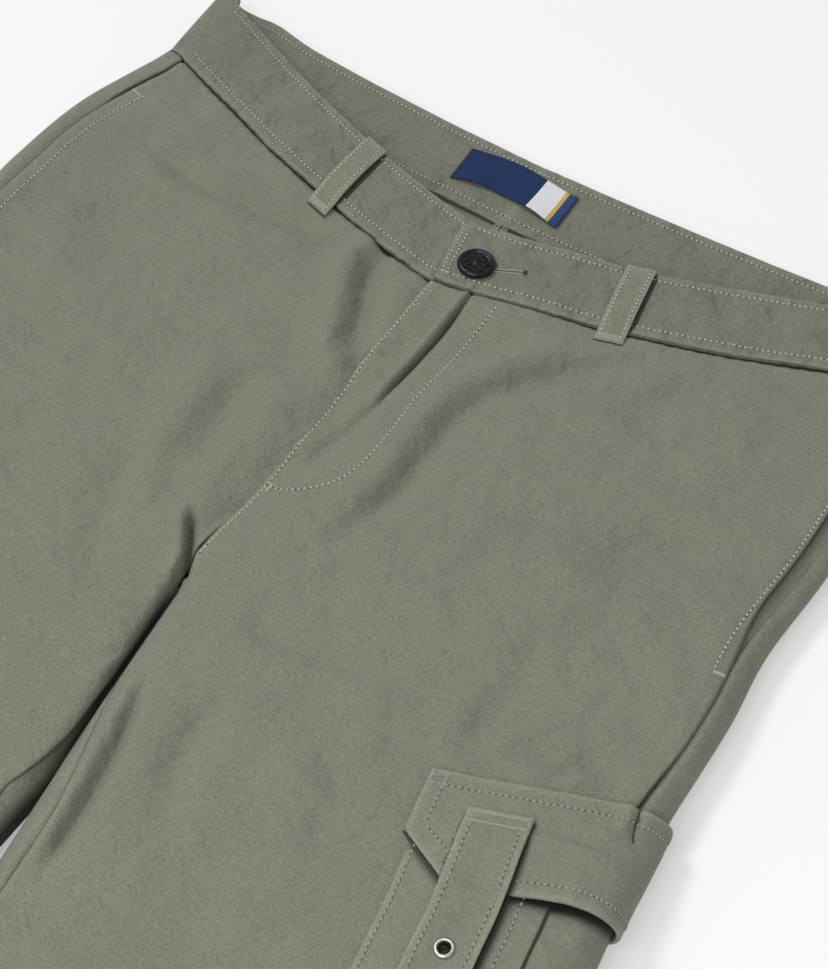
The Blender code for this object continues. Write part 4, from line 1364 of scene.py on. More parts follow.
def label_material():
    """A satin ribbon in bands of colour."""
    material, tree, shader = new_material("woven_label")
    flat = add_node(tree, "ShaderNodeUVMap", uv_map="cloth")
    split = add_node(tree, "ShaderNodeSeparateXYZ", {0: flat.outputs[0]})
    place = maths(tree, "ADD", maths(tree, "DIVIDE", split.outputs[0], LABEL_SIZE[0]), 0.5)
    bands = add_node(tree, "ShaderNodeValToRGB", {0: place})
    ramp = bands.color_ramp
    ramp.interpolation = "CONSTANT"
    navy, white = (0.0120, 0.033, 0.105, 1), (0.74, 0.75, 0.76, 1)
    gold, blue = (0.62, 0.40, 0.075, 1), (0.020, 0.070, 0.22, 1)
    stops = ((0.0, navy), (0.700, white), (0.895, gold), (0.930, blue))
    for index, (at, colour) in enumerate(stops):
        stop = ramp.elements[index] if index < 2 else ramp.elements.new(at)
        stop.position = at
        stop.color = colour
    weave = add_node(tree, "ShaderNodeGroup", node_tree=WEAVE)
    tree.links.new(flat.outputs[0], weave.inputs["Vector"])
    weave.inputs["Ribs per metre"].default_value = 3200.0
    level = maths(tree, "ADD", maths(tree, "MULTIPLY", weave.outputs["Shade"], 0.45), 0.75)
    colour = add_node(tree, "ShaderNodeVectorMath", {0: bands.outputs[0], "Scale": level},
                      operation="SCALE")
    tree.links.new(colour.outputs[0], shader.inputs["Base Color"])
    relief = add_node(tree, "ShaderNodeBump", {
        "Height": weave.outputs["Height"], "Distance": 0.00008, "Strength": 0.8})
    tree.links.new(relief.outputs[0], shader.inputs["Normal"])
    shader.inputs["Roughness"].default_value = 0.60
    shader.inputs["Specular IOR Level"].default_value = 0.15
    return material


cloth("label", label_rows(), 0.0005, label_material(), (), 0.0)
declare_cloth("label")

# %% [markdown]
# ## Button and eyelets
#
# A shank button and an eyelet are turned parts. Each is a profile, spun round its axis
# with `bmesh.ops.spin`. The button's face has a raised rim and a ring of small leaves,
# which are squashed spheres, under a fine hammered texture. Both metals share one maker.

# %% Turned metal pieces
def metal_material(name, base, roughness, grain, metallic=1.0, worn=0.10):
    """A cast metal with a fine uneven skin."""
    material, tree, shader = new_material(name)
    where = add_node(tree, "ShaderNodeTexCoord")
    fine = add_node(tree, "ShaderNodeTexNoise", {
        "Vector": where.outputs["Object"], "Scale": grain, "Detail": 4.0, "Roughness": 0.6})
    tint = add_node(tree, "ShaderNodeMapRange", {
        "Value": fine.outputs["Fac"], "To Min": 1.0 - worn, "To Max": 1.0 + worn * 2})
    colour = add_node(tree, "ShaderNodeVectorMath", {0: base, "Scale": tint.outputs[0]},
                      operation="SCALE")
    tree.links.new(colour.outputs[0], shader.inputs["Base Color"])
    rough = add_node(tree, "ShaderNodeMapRange", {
        "Value": fine.outputs["Fac"], "To Min": roughness * 0.8, "To Max": roughness * 1.3})
    tree.links.new(rough.outputs[0], shader.inputs["Roughness"])
    relief = add_node(tree, "ShaderNodeBump", {
        "Height": fine.outputs["Fac"], "Distance": 0.0003, "Strength": 0.5})
    tree.links.new(relief.outputs[0], shader.inputs["Normal"])
    shader.inputs["Metallic"].default_value = metallic
    return material


def spun(profile, steps=48):
    """A bmesh of a profile of (radius, height) pairs, spun round Z."""
    shape = bmesh.new()
    points = [shape.verts.new((radius, 0.0, height)) for radius, height in profile]
    edges = [shape.edges.new(pair) for pair in zip(points, points[1:])]
    bmesh.ops.spin(shape, geom=points + edges, cent=(0, 0, 0), axis=(0, 0, 1),
                   angle=2 * math.pi, steps=steps, use_merge=True)
    bmesh.ops.remove_doubles(shape, verts=shape.verts, dist=0.00001)
    bmesh.ops.recalc_face_normals(shape, faces=shape.faces)
    return shape


def add_piece(name, shape, material, replaced=()):
    mesh = bpy.data.meshes.new(name)
    shape.to_mesh(mesh)
    shape.free()
    mesh.shade_smooth()
    mesh.materials.append(material)
    piece = bpy.data.objects.new(name, mesh)
    bpy.context.scene.collection.objects.link(piece)
    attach(piece, "root")
    if replaced:
        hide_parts(*replaced)
    print(f"{name}: {len(mesh.polygons)} faces")
    return piece


def facing_out(place_of, at, step=0.002):
    """A matrix that stands on a surface, with Z away from it and X along it."""
    here, right, up = (Vector(place_of(*spot)[:3]) for spot in (
        at, (at[0] + step, at[1]), (at[0], at[1] + step)))
    z = (right - here).cross(up - here).normalized()
    x = (right - here).normalized()
    turn = Matrix((x, z.cross(x), z)).transposed().to_4x4()
    return Matrix.Translation(here + Vector(SHIFT)) @ turn


gunmetal = metal_material("gunmetal", (0.026, 0.028, 0.030), 0.27, 700.0, metallic=0.9, worn=0.30)
nickel = metal_material("nickel", (0.46, 0.45, 0.40), 0.34, 1500.0, worn=0.2)
print("metals:", gunmetal.name, nickel.name)

# %% [markdown]
# ### The shank button
#
# The profile starts at the middle of the button's face, goes over the rim and under it,
# and ends at the foot of the shank. The leaves and the boss are added to the same bmesh.

# %% The button
BUTTON_RADIUS = 0.009
BUTTON_X, BUTTON_RISE = 0.0105, 0.335
SHANK_RADIUS = 0.0026
LEAVES = 8
under = BAND_WALL / 2 + 0.0002
button_profile = [
    (0.0, under + 0.0026), (BUTTON_RADIUS * 0.30, under + 0.0026),
    (BUTTON_RADIUS * 0.66, under + 0.0024), (BUTTON_RADIUS * 0.72, under + 0.0025),
    (BUTTON_RADIUS * 0.77, under + 0.0032), (BUTTON_RADIUS * 0.83, under + 0.0034),
    (BUTTON_RADIUS * 0.90, under + 0.0032), (BUTTON_RADIUS * 0.96, under + 0.0027),
    (BUTTON_RADIUS * 1.00, under + 0.0021), (BUTTON_RADIUS * 1.00, under + 0.0013),
    (BUTTON_RADIUS * 0.96, under + 0.0009), (BUTTON_RADIUS * 0.60, under + 0.0007),
    (SHANK_RADIUS * 1.3, under + 0.0004), (SHANK_RADIUS, under), (SHANK_RADIUS, -0.0012),
    (0.0, -0.0012)]
button = spun(button_profile)
for leaf in range(LEAVES):
    turn = Matrix.Rotation(2 * math.pi * leaf / LEAVES, 4, "Z")
    for reach, angle, long, wide in ((0.52, 38, 0.0017, 0.0007), (0.33, -30, 0.0010, 0.0005)):
        place = Matrix.Translation((BUTTON_RADIUS * reach, 0, under + 0.0025))
        tilt = Matrix.Rotation(math.radians(angle), 4, "Z")
        size = Matrix.Diagonal((long, wide, 0.0006, 1.0))
        bmesh.ops.create_uvsphere(button, u_segments=10, v_segments=6, radius=1.0,
                                  matrix=turn @ place @ tilt @ size)
bmesh.ops.create_uvsphere(
    button, u_segments=16, v_segments=8, radius=1.0,
    matrix=Matrix.Translation((0, 0, under + 0.0024)) @ Matrix.Diagonal((0.0020, 0.0020, 0.0007, 1)))


def left_band_place(x, y):
    return band_point(LEFT, x, BUTTON_RISE + (y - BUTTON_RISE) / BAND_HEIGHT, True)


button.transform(facing_out(left_band_place, (BUTTON_X, BUTTON_RISE)))
add_piece("button", button, gunmetal, ["button"])

# %% [markdown]
# ### The eyelets
#
# An eyelet is a ring that is pressed over the edge of its hole. Its profile is closed, so
# the spin makes a whole ring with a barrel that goes down into the strap.

# %% The eyelets
face = LOOP_WALL / 2
eyelet_profile = [
    (EYELET_HOLE, -0.0018), (EYELET_HOLE, face + 0.0004), (EYELET_HOLE + 0.0003, face + 0.0008),
    (EYELET_HOLE + 0.0008, face + 0.0010), (EYELET_RADIUS - 0.0005, face + 0.0007),
    (EYELET_RADIUS - 0.0001, face + 0.0003), (EYELET_RADIUS, face), (EYELET_RADIUS - 0.0003, face - 0.0002),
    (EYELET_HOLE + 0.0003, face - 0.0002), (EYELET_HOLE + 0.0003, -0.0018), (EYELET_HOLE, -0.0018)]
for side in (LEFT, RIGHT):
    def strap_place(x, y):
        """x to the wearer's left and y up, from the middle of the eyelet."""
        return pocket_place(side, STRAP_GIRTH - side * x, EYELET_DROP - y, strap_out)

    eyelet = spun(eyelet_profile, 36)
    eyelet.transform(facing_out(strap_place, (0.0, 0.0)))
    name = "eyelet_" + SUFFIX[side]
    add_piece(name, eyelet, nickel, [name])

# %% [markdown]
# ## Stitches
#
# Topstitching is what makes workwear look sewn: short raised threads with a dimple at
# each end. A bump map would stay flat at the edges, so each stitch is a tiny squashed
# sphere of a few dozen faces, and each area's stitches are one joined mesh. A line of
# stitches is walked in even steps. At each step a ray is shot at the finished cloth, and
# where it lands, with the cloth's own slope, is where the stitch goes.

# %% The stitcher
graph = bpy.context.evaluated_depsgraph_get()
STITCH = SimpleNamespace(pitch=0.0026, length=0.0018, width=0.00115, height=0.00080)
BAR = SimpleNamespace(pitch=0.0006, length=0.0022, width=0.00055, height=0.00060)
WHIP = SimpleNamespace(pitch=0.00065, length=0.0013, width=0.0005, height=0.0007)
WHIP_END = SimpleNamespace(pitch=0.0004, length=0.0034, width=0.0006, height=0.0012)
ZIGZAG = SimpleNamespace(pitch=0.0017, length=0.0030, width=0.0007, height=0.0009)
OVERLOCK = SimpleNamespace(pitch=0.0011, length=0.0019, width=0.0006, height=0.0008)
OVERLOCK_CORE = SimpleNamespace(pitch=0.0007, length=0.0026, width=0.0007, height=0.0009)


@functools.lru_cache(maxsize=None)
def tree_of(name):
    return BVHTree.FromObject(pieces[name], graph)


def landing(start, away, names):
    """Where a ray meets the nearest of some pieces, and the way that the cloth faces."""
    best = None
    for name in names:
        place, normal, _, distance = tree_of(name).ray_cast(start, away, 0.08)
        if place is not None and (best is None or distance < best[2]):
            best = (place, normal, distance)
    return best


def bead_place(place, along, normal, length, width, height):
    """Where a sphere of radius 1 goes to become a thread that lies on the cloth."""
    x = (along - normal * along.dot(normal)).normalized()
    turn = Matrix((x, normal.cross(x), normal)).transposed().to_4x4()
    return Matrix.Translation(place) @ turn @ Matrix.Diagonal((length / 2, width / 2, height / 2, 1.0))


def sew(places, line, names, size=STITCH, crosswise=False):
    """Stitch along a line of (point outside the cloth, way towards it) pairs."""
    starts = [Vector(start) for start, _ in line]
    ways = [Vector(way) for _, way in line]
    gone = [0.0]
    for first, second in zip(starts, starts[1:]):
        gone.append(gone[-1] + (second - first).length)
    count = int(gone[-1] / size.pitch)
    index = 0
    for step in range(count):
        run = (step + 0.5) * size.pitch
        while gone[index + 1] < run and index < len(gone) - 2:
            index += 1
        share = (run - gone[index]) / max(gone[index + 1] - gone[index], 1e-9)
        start = starts[index].lerp(starts[index + 1], share)
        away = ways[index].lerp(ways[index + 1], share).normalized()
        hit = landing(start, away, names)
        if hit is None:
            continue
        place, normal, _ = hit
        if normal.dot(away) > 0:
            normal = -normal
        along = (starts[index + 1] - starts[index]).normalized()
        if crosswise:
            along = normal.cross(along)
        places.threads.append(bead_place(
            place + normal * size.height * 0.12, along, normal, size.length, size.width, size.height))
        # A needle hole between stitches gets a dark bead of painted shade.
        if size is STITCH:
            hole = place + along * size.pitch / 2 + normal * 0.00002
            places.holes.append(bead_place(hole, along, normal, 0.0008, 0.0007, 0.0002))


print("a stitch is", STITCH.length * 1000, "mm long")

# %% [markdown]
# ### From places to one mesh
#
# Thousands of separate objects would be slow, and so would thousands of bmesh calls. One
# bead is made by `bmesh.ops.create_icosphere`, its corners are multiplied by all the
# places at once, and the result is one mesh with a thread part and a dark part, which is
# mostly painted shade in holes and gaps.

# %% Join the threads of one area
def new_places():
    """Where the threads and the needle holes of one area go."""
    return SimpleNamespace(threads=[], holes=[])


def copies(shape, places):
    """The corners and faces of one shape, copied to many places."""
    corners = np.array([(*corner.co, 1.0) for corner in shape.verts])
    faces = np.array([[corner.index for corner in face.verts] for face in shape.faces])
    moved = np.einsum("nij,vj->nvi", np.array(places), corners)[..., :3].reshape(-1, 3)
    steps = np.arange(len(places))[:, None, None] * len(corners)
    return moved, (faces[None] + steps).reshape(-1, faces.shape[1])


def shade(places, line, names, width):
    """Painted shade: the dark core of a narrow gap, laid along a line as close soft beads."""
    core = new_places()
    sew(core, line, names, SimpleNamespace(pitch=0.0008, length=0.0024, width=width, height=0.0006))
    places.holes += core.threads


def add_stitches(name, places, material):
    """Join all the threads and dark beads of one area into one mesh; the beads are mostly painted shade in
    needle holes and gaps.
    """
    bead = bmesh.new()
    bmesh.ops.create_icosphere(bead, subdivisions=1, radius=1.0)
    bead.verts.index_update()
    mesh = bpy.data.meshes.new(name)
    corners, faces = copies(bead, places.threads + places.holes)
    bead.free()
    mesh.from_pydata(corners.tolist(), [], faces.tolist())
    mesh.shade_smooth()
    mesh.materials.append(material)
    # The second material is near-black, mostly painted shade in needle holes and gaps.
    mesh.materials.append(painted_gap_shade)
    dark = np.arange(len(faces)) >= len(faces) * len(places.threads) // (
        len(places.threads) + len(places.holes))
    mesh.polygons.foreach_set("material_index", dark.astype(np.int32))
    piece = bpy.data.objects.new(name, mesh)
    bpy.context.scene.collection.objects.link(piece)
    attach(piece, "root")
    print(f"{name}: {len(places.threads)} stitches, {len(faces)} faces")


print("needle holes and gaps share the mesh of their threads")

# %% [markdown]
# ### Lines to sew along
#
# A line is a list of places outside the cloth, each with the way towards it. The helpers
# below make such lines in the terms that a piece is cut in: x and y on the top, rise on
# the band, wrap on the rolled edge, girth and drop on the pockets.

# %% Lines on the garment
DOWN = (0.0, 0.0, -1.0)
ABOVE = 0.06                 # the height that a ray starts from, over the whole garment


def top_line(points, count=60):
    """A line on the top of the garment, from a few (x, y) places."""
    return straight(curve_through(points, count))


def straight(points):
    """A line on the top of the garment through all the (x, y) places given."""
    return [((x + SHIFT[0], y + SHIFT[1], ABOVE), DOWN) for x, y in points]


def over_band(side, x, rise, front=True, out=0.004):
    """A place a little above the band, and the way down to it."""
    return np.array(band_point(side, x, rise, front, out)[:3]) + SHIFT, DOWN


def band_line(side, rise, first, last, front=True):
    """A line along the band, from x first to x last."""
    return [over_band(side, first + (last - first) * step / 80, rise, front) for step in range(81)]


def outer_line(side, wrap_places):
    """A line on the rolled edge, from (outer_y, wrap) places."""
    line = []
    for outer_y, wrap in wrap_places:
        section = section_where("outer_y", outer_y)
        base = np.array(outer_point(section, side, wrap)[:3])
        outside = np.array(outer_point(section, side, wrap, 0.008)[:3])
        line.append((outside + SHIFT, base - outside))
    return line


def pocket_line(side, places, out_of):
    """A line on the pocket, flap or strap, from (girth, drop) places."""
    line = []
    for girth, drop in places:
        base = np.array(pocket_place(side, girth, drop, out_of)[:3])
        outside = np.array(pocket_place(side, girth, drop, out_of, 0.006)[:3])
        line.append((outside + SHIFT, base - outside))
    return line


print("rays start", ABOVE, "m up")

# %% [markdown]
# ### Thread
#
# Polished cotton thread is paler than the cloth and catches a little light. On the
# pockets it is closer to the colour of the cloth.

# %% The thread materials
def thread_material(name, base):
    """Cotton thread, uneven in tone along its length."""
    material, tree, shader = new_material(name)
    where = add_node(tree, "ShaderNodeTexCoord")
    ply = add_node(tree, "ShaderNodeTexNoise", {
        "Vector": where.outputs["Object"], "Scale": 1400.0, "Detail": 2.0})
    tint = add_node(tree, "ShaderNodeMapRange", {
        "Value": ply.outputs["Fac"], "To Min": 0.70, "To Max": 1.25})
    colour = add_node(tree, "ShaderNodeVectorMath", {0: base, "Scale": tint.outputs[0]},
                      operation="SCALE")
    tree.links.new(colour.outputs[0], shader.inputs["Base Color"])
    shader.inputs["Roughness"].default_value = 0.62
    shader.inputs["Sheen Weight"].default_value = 0.15
    return material


thread = thread_material("cotton_thread", (0.420, 0.425, 0.345))
dull_thread = thread_material("cotton_thread_matched", (0.300, 0.306, 0.245))
# A near-black material for the dark beads, which are mostly painted shade in needle holes and narrow gaps.
painted_gap_shade = thread_material("painted_gap_shade", (0.030, 0.032, 0.024))
print("threads:", thread.name, dull_thread.name)

# %% [markdown]
# ### Stitches of the waistband and loops
#
# One row holds the band's top fold and one its lower fold. Both are 4 mm in from the
# edge. Two rows close the left end. Each loop has a row down both sides and a bar tack,
# which is a short zigzag, where it is sewn down. A line of dark beads, painted shade, fills
# the narrow gap beside and under each loop.

# %% Sew the waistband
waist = section_at(0.0)
WAIST_FLAT = waist.outer_x - EDGE_ROLL
places = new_places()
TOP_ROW, LOW_ROW = 0.90, 0.105      # rises, as shares of the band's height
LOOP_ROW = 0.0046                   # from the middle of a loop to a row of its stitches
LOOP_BARS = (-0.205, -0.165)
# Dark beads of painted shade beside each loop, and the rise of the line of them under its foot.
LOOP_SHADES = ((0.0014, -0.02, 1.0), (0.0032, 0.10, 0.92))   # width, lower and upper rise
LOOP_FOOT = -0.262
for side, first in ((LEFT, -0.002), (RIGHT, 0.004)):
    name = ["waistband_" + SUFFIX[side]]
    sew(places, band_line(side, LOW_ROW, first, WAIST_FLAT), name)
    sew(places, band_line(side, TOP_ROW, first, WAIST_FLAT), name)
    for rise in (LOW_ROW, TOP_ROW):
        sew(places, band_line(side, rise, 0.0, WAIST_FLAT, front=False), name)
for inset in (0.0022, 0.0048):
    line = []
    for step in range(21):
        rise = 0.08 + 0.84 * step / 20
        x, y, z, _ = band_point(LEFT, 0.0, rise, True, 0.004)
        drop = BAND_END_DROP * rise
        line.append((np.array((-0.0030 - BAND_END_LEAN * rise + inset, y - drop, z)) + SHIFT, DOWN))
    sew(places, line, ["waistband_left"])
add_stitches("stitches_waistband", places, thread)

places = new_places()
for side, x, lean in FRONT_LOOPS:
    name = ["belt_loop_front_" + SUFFIX[side]]

    def loop_line(points):
        """A line on the loop, from (place across it, rise) pairs."""
        return [over_band(side, x + lean * rise * BAND_HEIGHT + across, rise, out=0.010)
                for across, rise in points]

    for across in (-LOOP_ROW, LOOP_ROW):
        row = [(across, -0.20 + 1.18 * step / 24) for step in range(25)]
        sew(places, loop_line(row), name)
    for rise in LOOP_BARS:
        bar = [(0.0050 - 0.0100 * step / 8, rise) for step in range(9)]
        sew(places, loop_line(bar), name, BAR, True)
    # Painted shade as dark beads in the gap beside the loop and under its foot.
    gap = side * (LOOP_WIDTH / 2 + 0.0003)
    for width, low, high in LOOP_SHADES:
        edge = [(gap, low + (high - low) * step / 24) for step in range(25)]
        shade(places, loop_line(edge), ["waistband_" + SUFFIX[side]], width)
    edge = [(LOOP_WIDTH * (step / 12 - 0.5), LOOP_FOOT) for step in range(13)]
    shade(places, loop_line(edge), ["front_" + SUFFIX[side]], 0.0009)
add_stitches("stitches_loops", places, thread)

# %% [markdown]
# ### Stitches of the fronts
#
# The fly has an edge row down its fold and the curved row that tailors call the J. Below
# the fly the same edge row closes the centre seam. Each side pocket has one row beside
# its opening, with a bar tack at both ends.

# %% Sew the fronts
FLY_EDGE = ((-0.0012, -0.003), (-0.0008, -0.050), (0.0010, -0.100), (0.0018, -0.137),
            (0.0018, -0.186))
SIDE_ROW_INSET = {LEFT: 0.24, RIGHT: 0.52}   # from the side seam, as a share of the rolled edge
SIDE_ROW_TOP, SIDE_ROW_LENGTH = 0.032, 0.146
FLY_J = ((0.032, -0.001), (0.031, -0.050), (0.030, -0.066), (0.031, -0.080), (0.0318, -0.104),
         (0.0275, -0.122), (0.0185, -0.133), (0.0100, -0.1375), (0.0020, -0.1385))
places = new_places()
sew(places, top_line(FLY_EDGE, 120), ["front_left"])
sew(places, top_line(FLY_J, 120), ["front_left"])
sew(places, straight([(0.0035, -0.1365), (0.0035, -0.1415)]), ["front_left"], BAR, True)
for side in (LEFT, RIGHT):
    name = ["front_" + SUFFIX[side]]
    edge = OUTER_SEAM[side]
    inset = SIDE_ROW_INSET[side]
    rows = [(SIDE_ROW_TOP - SIDE_ROW_LENGTH * step / 40, edge + inset) for step in range(41)]
    sew(places, outer_line(side, rows), name)
    for outer_y in (0.030, -0.114):
        bar = [(outer_y, edge + 0.04 + (inset - 0.04) * step / 8) for step in range(9)]
        sew(places, outer_line(side, bar), name, BAR, True)
add_stitches("stitches_fronts", places, thread)

# %% [markdown]
# ### Stitches of the hems
#
# A hem is turned up 2 cm and held by one row.

# %% Sew the hems
places = new_places()
for side in (LEFT, RIGHT):
    section = section_where("front_y", HEM_Y + 0.0195)
    xs = spread(inner_x(section, side) + INNER_ROLL, section.outer_x - EDGE_ROLL, 0.004)
    line = straight([(side * x, cross_y(section, side, x, True)) for x in xs])
    sew(places, line, ["front_" + SUFFIX[side]])
add_stitches("stitches_hems", places, thread)

# %% [markdown]
# ### Stitches of the cargo pockets
#
# The cargo pocket is edge-stitched to the leg, the flap has a row under its seam and one
# round its edge, and two bars hold the strap. Dark beads of painted shade lie in the gaps:
# along the cut corner, behind the strap, in the pleat and in the fold at the top of the flap.

# %% Sew the cargo pockets
POCKET_ROW_TOP, POCKET_ROW_END = 0.030, 0.181
FLAP_ROW, FLAP_TOP_ROW = 0.0065, 0.0066      # insets from its front edge and from its seam
STRAP_ROW = 0.0030


def even(first, last, count):
    """Evenly spaced (girth, drop) places from first to last."""
    return [(first[0] + (last[0] - first[0]) * step / count,
             first[1] + (last[1] - first[1]) * step / count) for step in range(count + 1)]


for side in (LEFT, RIGHT):
    suffix = SUFFIX[side]
    names = ["cargo_pocket_" + suffix]
    places = new_places()
    for girth in (POCKET_FRONT - 0.0022, PLEAT_FRONT + 0.0100):
        row = even((girth, POCKET_ROW_TOP), (girth, POCKET_ROW_END), 60)
        sew(places, pocket_line(side, row, pocket_out), names)
    row = even((POCKET_FRONT - 0.002, 0.1815), (POCKET_BACK, 0.1815), 60)
    sew(places, pocket_line(side, row, pocket_out), names)
    flap = ["cargo_flap_" + suffix]
    strap = ["cargo_strap_" + suffix]
    cut = FLAP_HEIGHT - FLAP_CORNER
    inner = FLAP_FRONT - FLAP_ROW
    edge_row = [(inner, 0.007), (inner, cut - 0.003),
                (inner - FLAP_CORNER + 0.001, FLAP_HEIGHT - 0.006),
                (FLAP_BACK + FLAP_CORNER, FLAP_HEIGHT - 0.006)]
    for first, last in zip(edge_row, edge_row[1:]):
        sew(places, pocket_line(side, even(first, last, 40), flap_out), flap)
    row = even((FLAP_FRONT - 0.001, FLAP_TOP_ROW), (FLAP_BACK, FLAP_TOP_ROW), 60)
    sew(places, pocket_line(side, row, flap_out), flap)
    for girth in (FLAP_FRONT - 0.001, inner):
        bar = even((girth, 0.0015), (girth, 0.0070), 6)
        sew(places, pocket_line(side, bar, flap_out), flap, BAR, True)
    for drop in (0.0030, 0.0064):
        bar = even((FLAP_FRONT - 0.0005, drop), (FLAP_FRONT - 0.0070, drop), 6)
        sew(places, pocket_line(side, bar, flap_out), flap, BAR, True)
    half = STRAP_WIDTH / 2
    rear = STRAP_GIRTH - half - 0.0002
    leg = ["front_" + suffix, *names]
    # Painted shade as lines of dark beads in the gaps.
    gaps = (
        ((FLAP_FRONT + 0.0004, cut), (FLAP_FRONT - FLAP_CORNER, FLAP_HEIGHT + 0.0006),
         pocket_out, leg, 0.0014),
        ((rear, STRAP_TOP + 0.002), (rear, FLAP_HEIGHT), flap_out, flap, 0.0015),
        ((rear, FLAP_HEIGHT), (rear, STRAP_END), pocket_out, names, 0.0026),
        ((PLEAT_FRONT, FLAP_HEIGHT), (PLEAT_FRONT, 0.180), pocket_out, names, 0.0010),
        ((0.0185, -0.001), (0.0165, 0.015), flap_out, flap, 0.0012))
    for first, last, way_out, under_names, width in gaps:
        shade(places, pocket_line(side, even(first, last, 40), way_out), under_names, width)
    for drop in (STRAP_TOP + 0.0016, STRAP_TOP + 0.0060):
        bar = even((STRAP_GIRTH + half - 0.001, drop), (STRAP_GIRTH - half + 0.001, drop), 12)
        sew(places, pocket_line(side, bar, strap_out), strap, BAR)
        bar = [(girth, drop + 0.0004) for girth, _ in bar]
        sew(places, pocket_line(side, bar, strap_out), strap, BAR)
    for girth in (STRAP_GIRTH + half - STRAP_ROW, STRAP_GIRTH - half + STRAP_ROW):
        row = even((girth, STRAP_TOP + 0.007), (girth, STRAP_END - 0.004), 40)
        sew(places, pocket_line(side, row, strap_out), strap)
    add_stitches("stitches_pocket_" + suffix, places, dull_thread)

# %% [markdown]
# ### Buttonhole, label and seat seam
#
# A buttonhole's edges are whipped: close stitches laid side by side across the slit, with
# a bar at its end. The label's ends are held by a zigzag, and where the two back panels
# meet, the overlocked edge of their seam shows inside the waist. The slit is painted shade;
# its end bar, the label's zigzag and the middle of the overlocked edge are drawn in the same
# dark beads. A dark disc of painted shade lies under each eyelet's hole.

# %% Sew the small things
places = new_places()
HOLE_START, HOLE_END, HOLE_CLIMB = 0.0160, 0.0310, 0.12
SEAT_LOW, SEAT_HIGH = 0.028, 0.0565


def hole_line(offset, start, end):
    """A line beside the slit, which climbs a little away from the button."""
    line = []
    for step in range(25):
        x = start + (end - start) * step / 24
        rise = BUTTON_RISE + HOLE_CLIMB * (x - HOLE_START) / (HOLE_END - HOLE_START)
        place, way = over_band(LEFT, x, rise)
        line.append((place + np.array((0, offset, 0)), way))
    return line


for offset in (-0.0009, 0.0009):
    sew(places, hole_line(offset, HOLE_START, HOLE_END), ["waistband_left"], WHIP, True)
# The slit is painted shade, drawn as dark beads together with its end bar.
slit = new_places()
sew(slit, hole_line(0.0, HOLE_START, HOLE_END), ["waistband_left"], BAR)
end_bar = hole_line(0.0, HOLE_END - 0.0006, HOLE_END + 0.0012)
sew(slit, end_bar, ["waistband_left"], WHIP_END, True)
places.holes += slit.threads
dark_places = new_places()
for share in (0.01, 0.99):
    line = []
    for step in range(15):
        down = step / 14
        x = LABEL_X + LABEL_SIZE[0] * (share - 0.5)
        side = LEFT if x >= 0 else RIGHT
        rise = LABEL_RISE + (0.5 - down) * LABEL_SIZE[1] / BAND_HEIGHT
        line.append(over_band(side, abs(x), rise, False, 0.009))
    sew(dark_places, line, ["label"], ZIGZAG, True)
backs = ["back_left", "back_right"]
for offset in (-0.0030, -0.0012, 0.0012, 0.0030):
    seat = [(offset, 0.030 + 0.027 * step / 12) for step in range(13)]
    sew(places, straight(seat), backs, OVERLOCK, True)
sew(dark_places, straight([(0.0, SEAT_LOW), (0.0, SEAT_HIGH)]), backs, OVERLOCK_CORE, True)
places.holes += dark_places.threads
for side in (LEFT, RIGHT):
    suffix = SUFFIX[side]
    hole = pocket_line(side, [(STRAP_GIRTH, EYELET_DROP), (STRAP_GIRTH, EYELET_DROP + 0.001)], strap_out)[0]
    place, normal, _ = landing(Vector(hole[0]), Vector(hole[1]).normalized(), ["cargo_pocket_" + suffix])
    across = Vector((1.0, 0.0, 0.0))
    # A dark disc of painted shade under the eyelet's hole.
    places.holes.append(bead_place(place, across, -normal, 0.0058, 0.0058, 0.0006))
add_stitches("stitches_small", places, thread)

# %% [markdown]
# ## Floor, light and camera
#
# The garment lies on a plain pale floor, which glows a little so that it stays nearly
# white. One large soft lamp stands far off and high on the wearer's right, and a weak one
# hangs over the lower legs, so that each crease has a light and a dark flank but no hard
# shadow. The camera stands over the wearer's left leg and looks up the garment to the
# waist.

# %% The stage
FLOOR_SHADES = (0.555, 0.565)
FLOOR_GLOW = 0.37
SKY = 0.45


def new_floor():
    """A wide pale floor just under the garment."""
    shape = bmesh.new()
    bmesh.ops.create_grid(shape, x_segments=1, y_segments=1, size=6.0)
    mesh = bpy.data.meshes.new("floor")
    shape.to_mesh(mesh)
    shape.free()
    mesh.transform(Matrix.Translation((0, 0, -0.0006)))
    material, tree, shader = new_material("pale_floor")
    where = add_node(tree, "ShaderNodeTexCoord")
    grain = add_node(tree, "ShaderNodeTexNoise", {"Vector": where.outputs["Object"], "Scale": 3.0})
    level = add_node(tree, "ShaderNodeMapRange", {
        "Value": grain.outputs["Fac"], "To Min": FLOOR_SHADES[0], "To Max": FLOOR_SHADES[1]})
    tree.links.new(level.outputs[0], shader.inputs["Base Color"])
    shader.inputs["Roughness"].default_value = 0.9
    shader.inputs["Specular IOR Level"].default_value = 0.1
    shader.inputs["Emission Color"].default_value = (1.0, 1.0, 1.0, 1.0)
    shader.inputs["Emission Strength"].default_value = FLOOR_GLOW
    mesh.materials.append(material)
    floor = bpy.data.objects.new("floor", mesh)
    bpy.context.scene.collection.objects.link(floor)


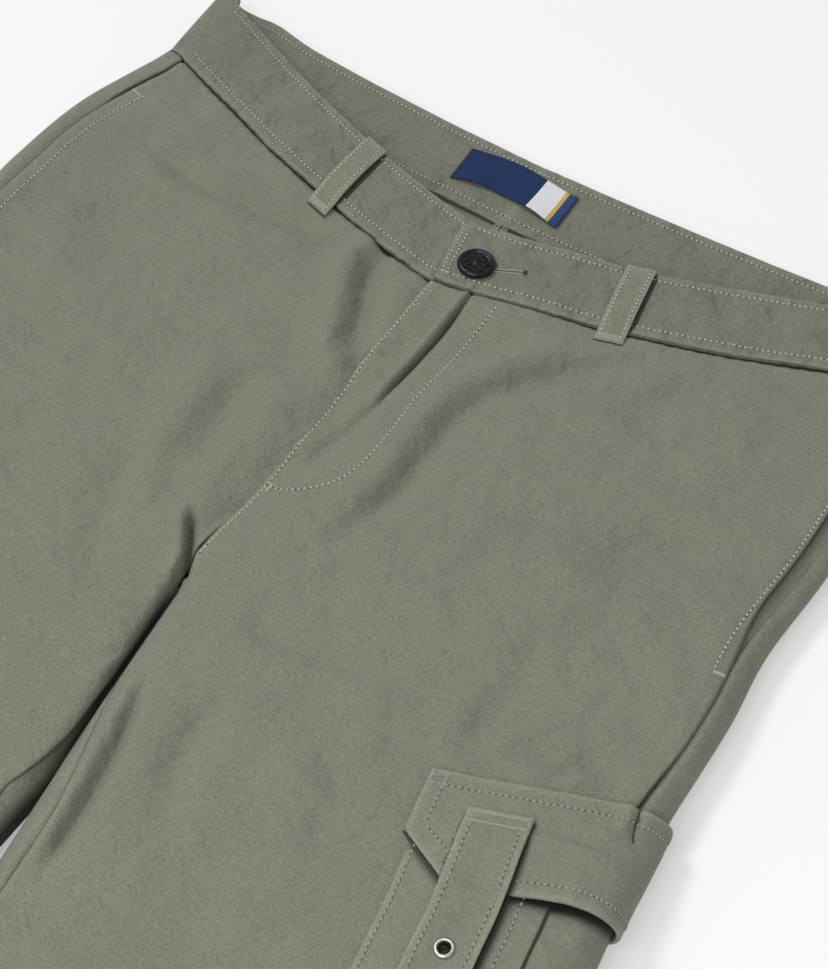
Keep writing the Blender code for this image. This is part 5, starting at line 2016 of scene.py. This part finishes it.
def new_lamp(name, place, size, power, target=(0.0, 0.25, 0.0)):
    """A round soft lamp that points at a target."""
    lamp = bpy.data.lights.new(name, "AREA")
    lamp.shape = "DISK"
    lamp.size = size
    lamp.energy = power
    holder = bpy.data.objects.new(name, lamp)
    holder.location = place
    holder.rotation_euler = (Vector(target) - Vector(place)).to_track_quat("-Z", "Y").to_euler()
    bpy.context.scene.collection.objects.link(holder)


new_floor()
new_lamp("key", (-3.10, 0.62, 4.6), 1.4, 124.0)
new_lamp("fill", (0.06, -0.42, 1.0), 0.8, 5.8, (0.12, 0.1, 0.0))
world = bpy.data.worlds.new("studio")
world.use_nodes = True
world.node_tree.nodes["Background"].inputs["Color"].default_value = (1.0, 1.0, 1.0, 1.0)
world.node_tree.nodes["Background"].inputs["Strength"].default_value = SKY
bpy.context.scene.world = world
print("the floor glows", FLOOR_GLOW, "and the sky", SKY)

# %% [markdown]
# ### The camera
#
# The camera is placed by where it stands, the way it looks and which way is up for it. It
# is a long lens held close, so the near leg looks only a little larger than the waist.

# %% The camera
CAMERA_PLACE = Vector((0.3158, -0.5047, 0.6777))
CAMERA_LOOK = Vector((-0.32106, 0.49167, -0.80944))
CAMERA_UP = Vector((-0.44324, 0.67730, 0.58721))
lens = bpy.data.cameras.new("camera")
lens.sensor_fit = "VERTICAL"
lens.sensor_height = 36.0
lens.lens = 71.1
lens.clip_start = 0.01
camera = bpy.data.objects.new("camera", lens)
right = CAMERA_LOOK.cross(CAMERA_UP).normalized()
up = right.cross(CAMERA_LOOK).normalized()
turn = Matrix((right, up, -CAMERA_LOOK.normalized())).transposed().to_4x4()
camera.matrix_world = Matrix.Translation(CAMERA_PLACE + Vector(SHIFT)) @ turn
bpy.context.scene.collection.objects.link(camera)
bpy.context.scene.camera = camera
print("camera at", tuple(round(value, 3) for value in camera.matrix_world.translation))

# %% [markdown]
# ## Finish
#
# The view transform is the plain one, so that the cloth keeps its measured colours.

# %% Finish
bpy.context.scene.view_settings.view_transform = "Standard"
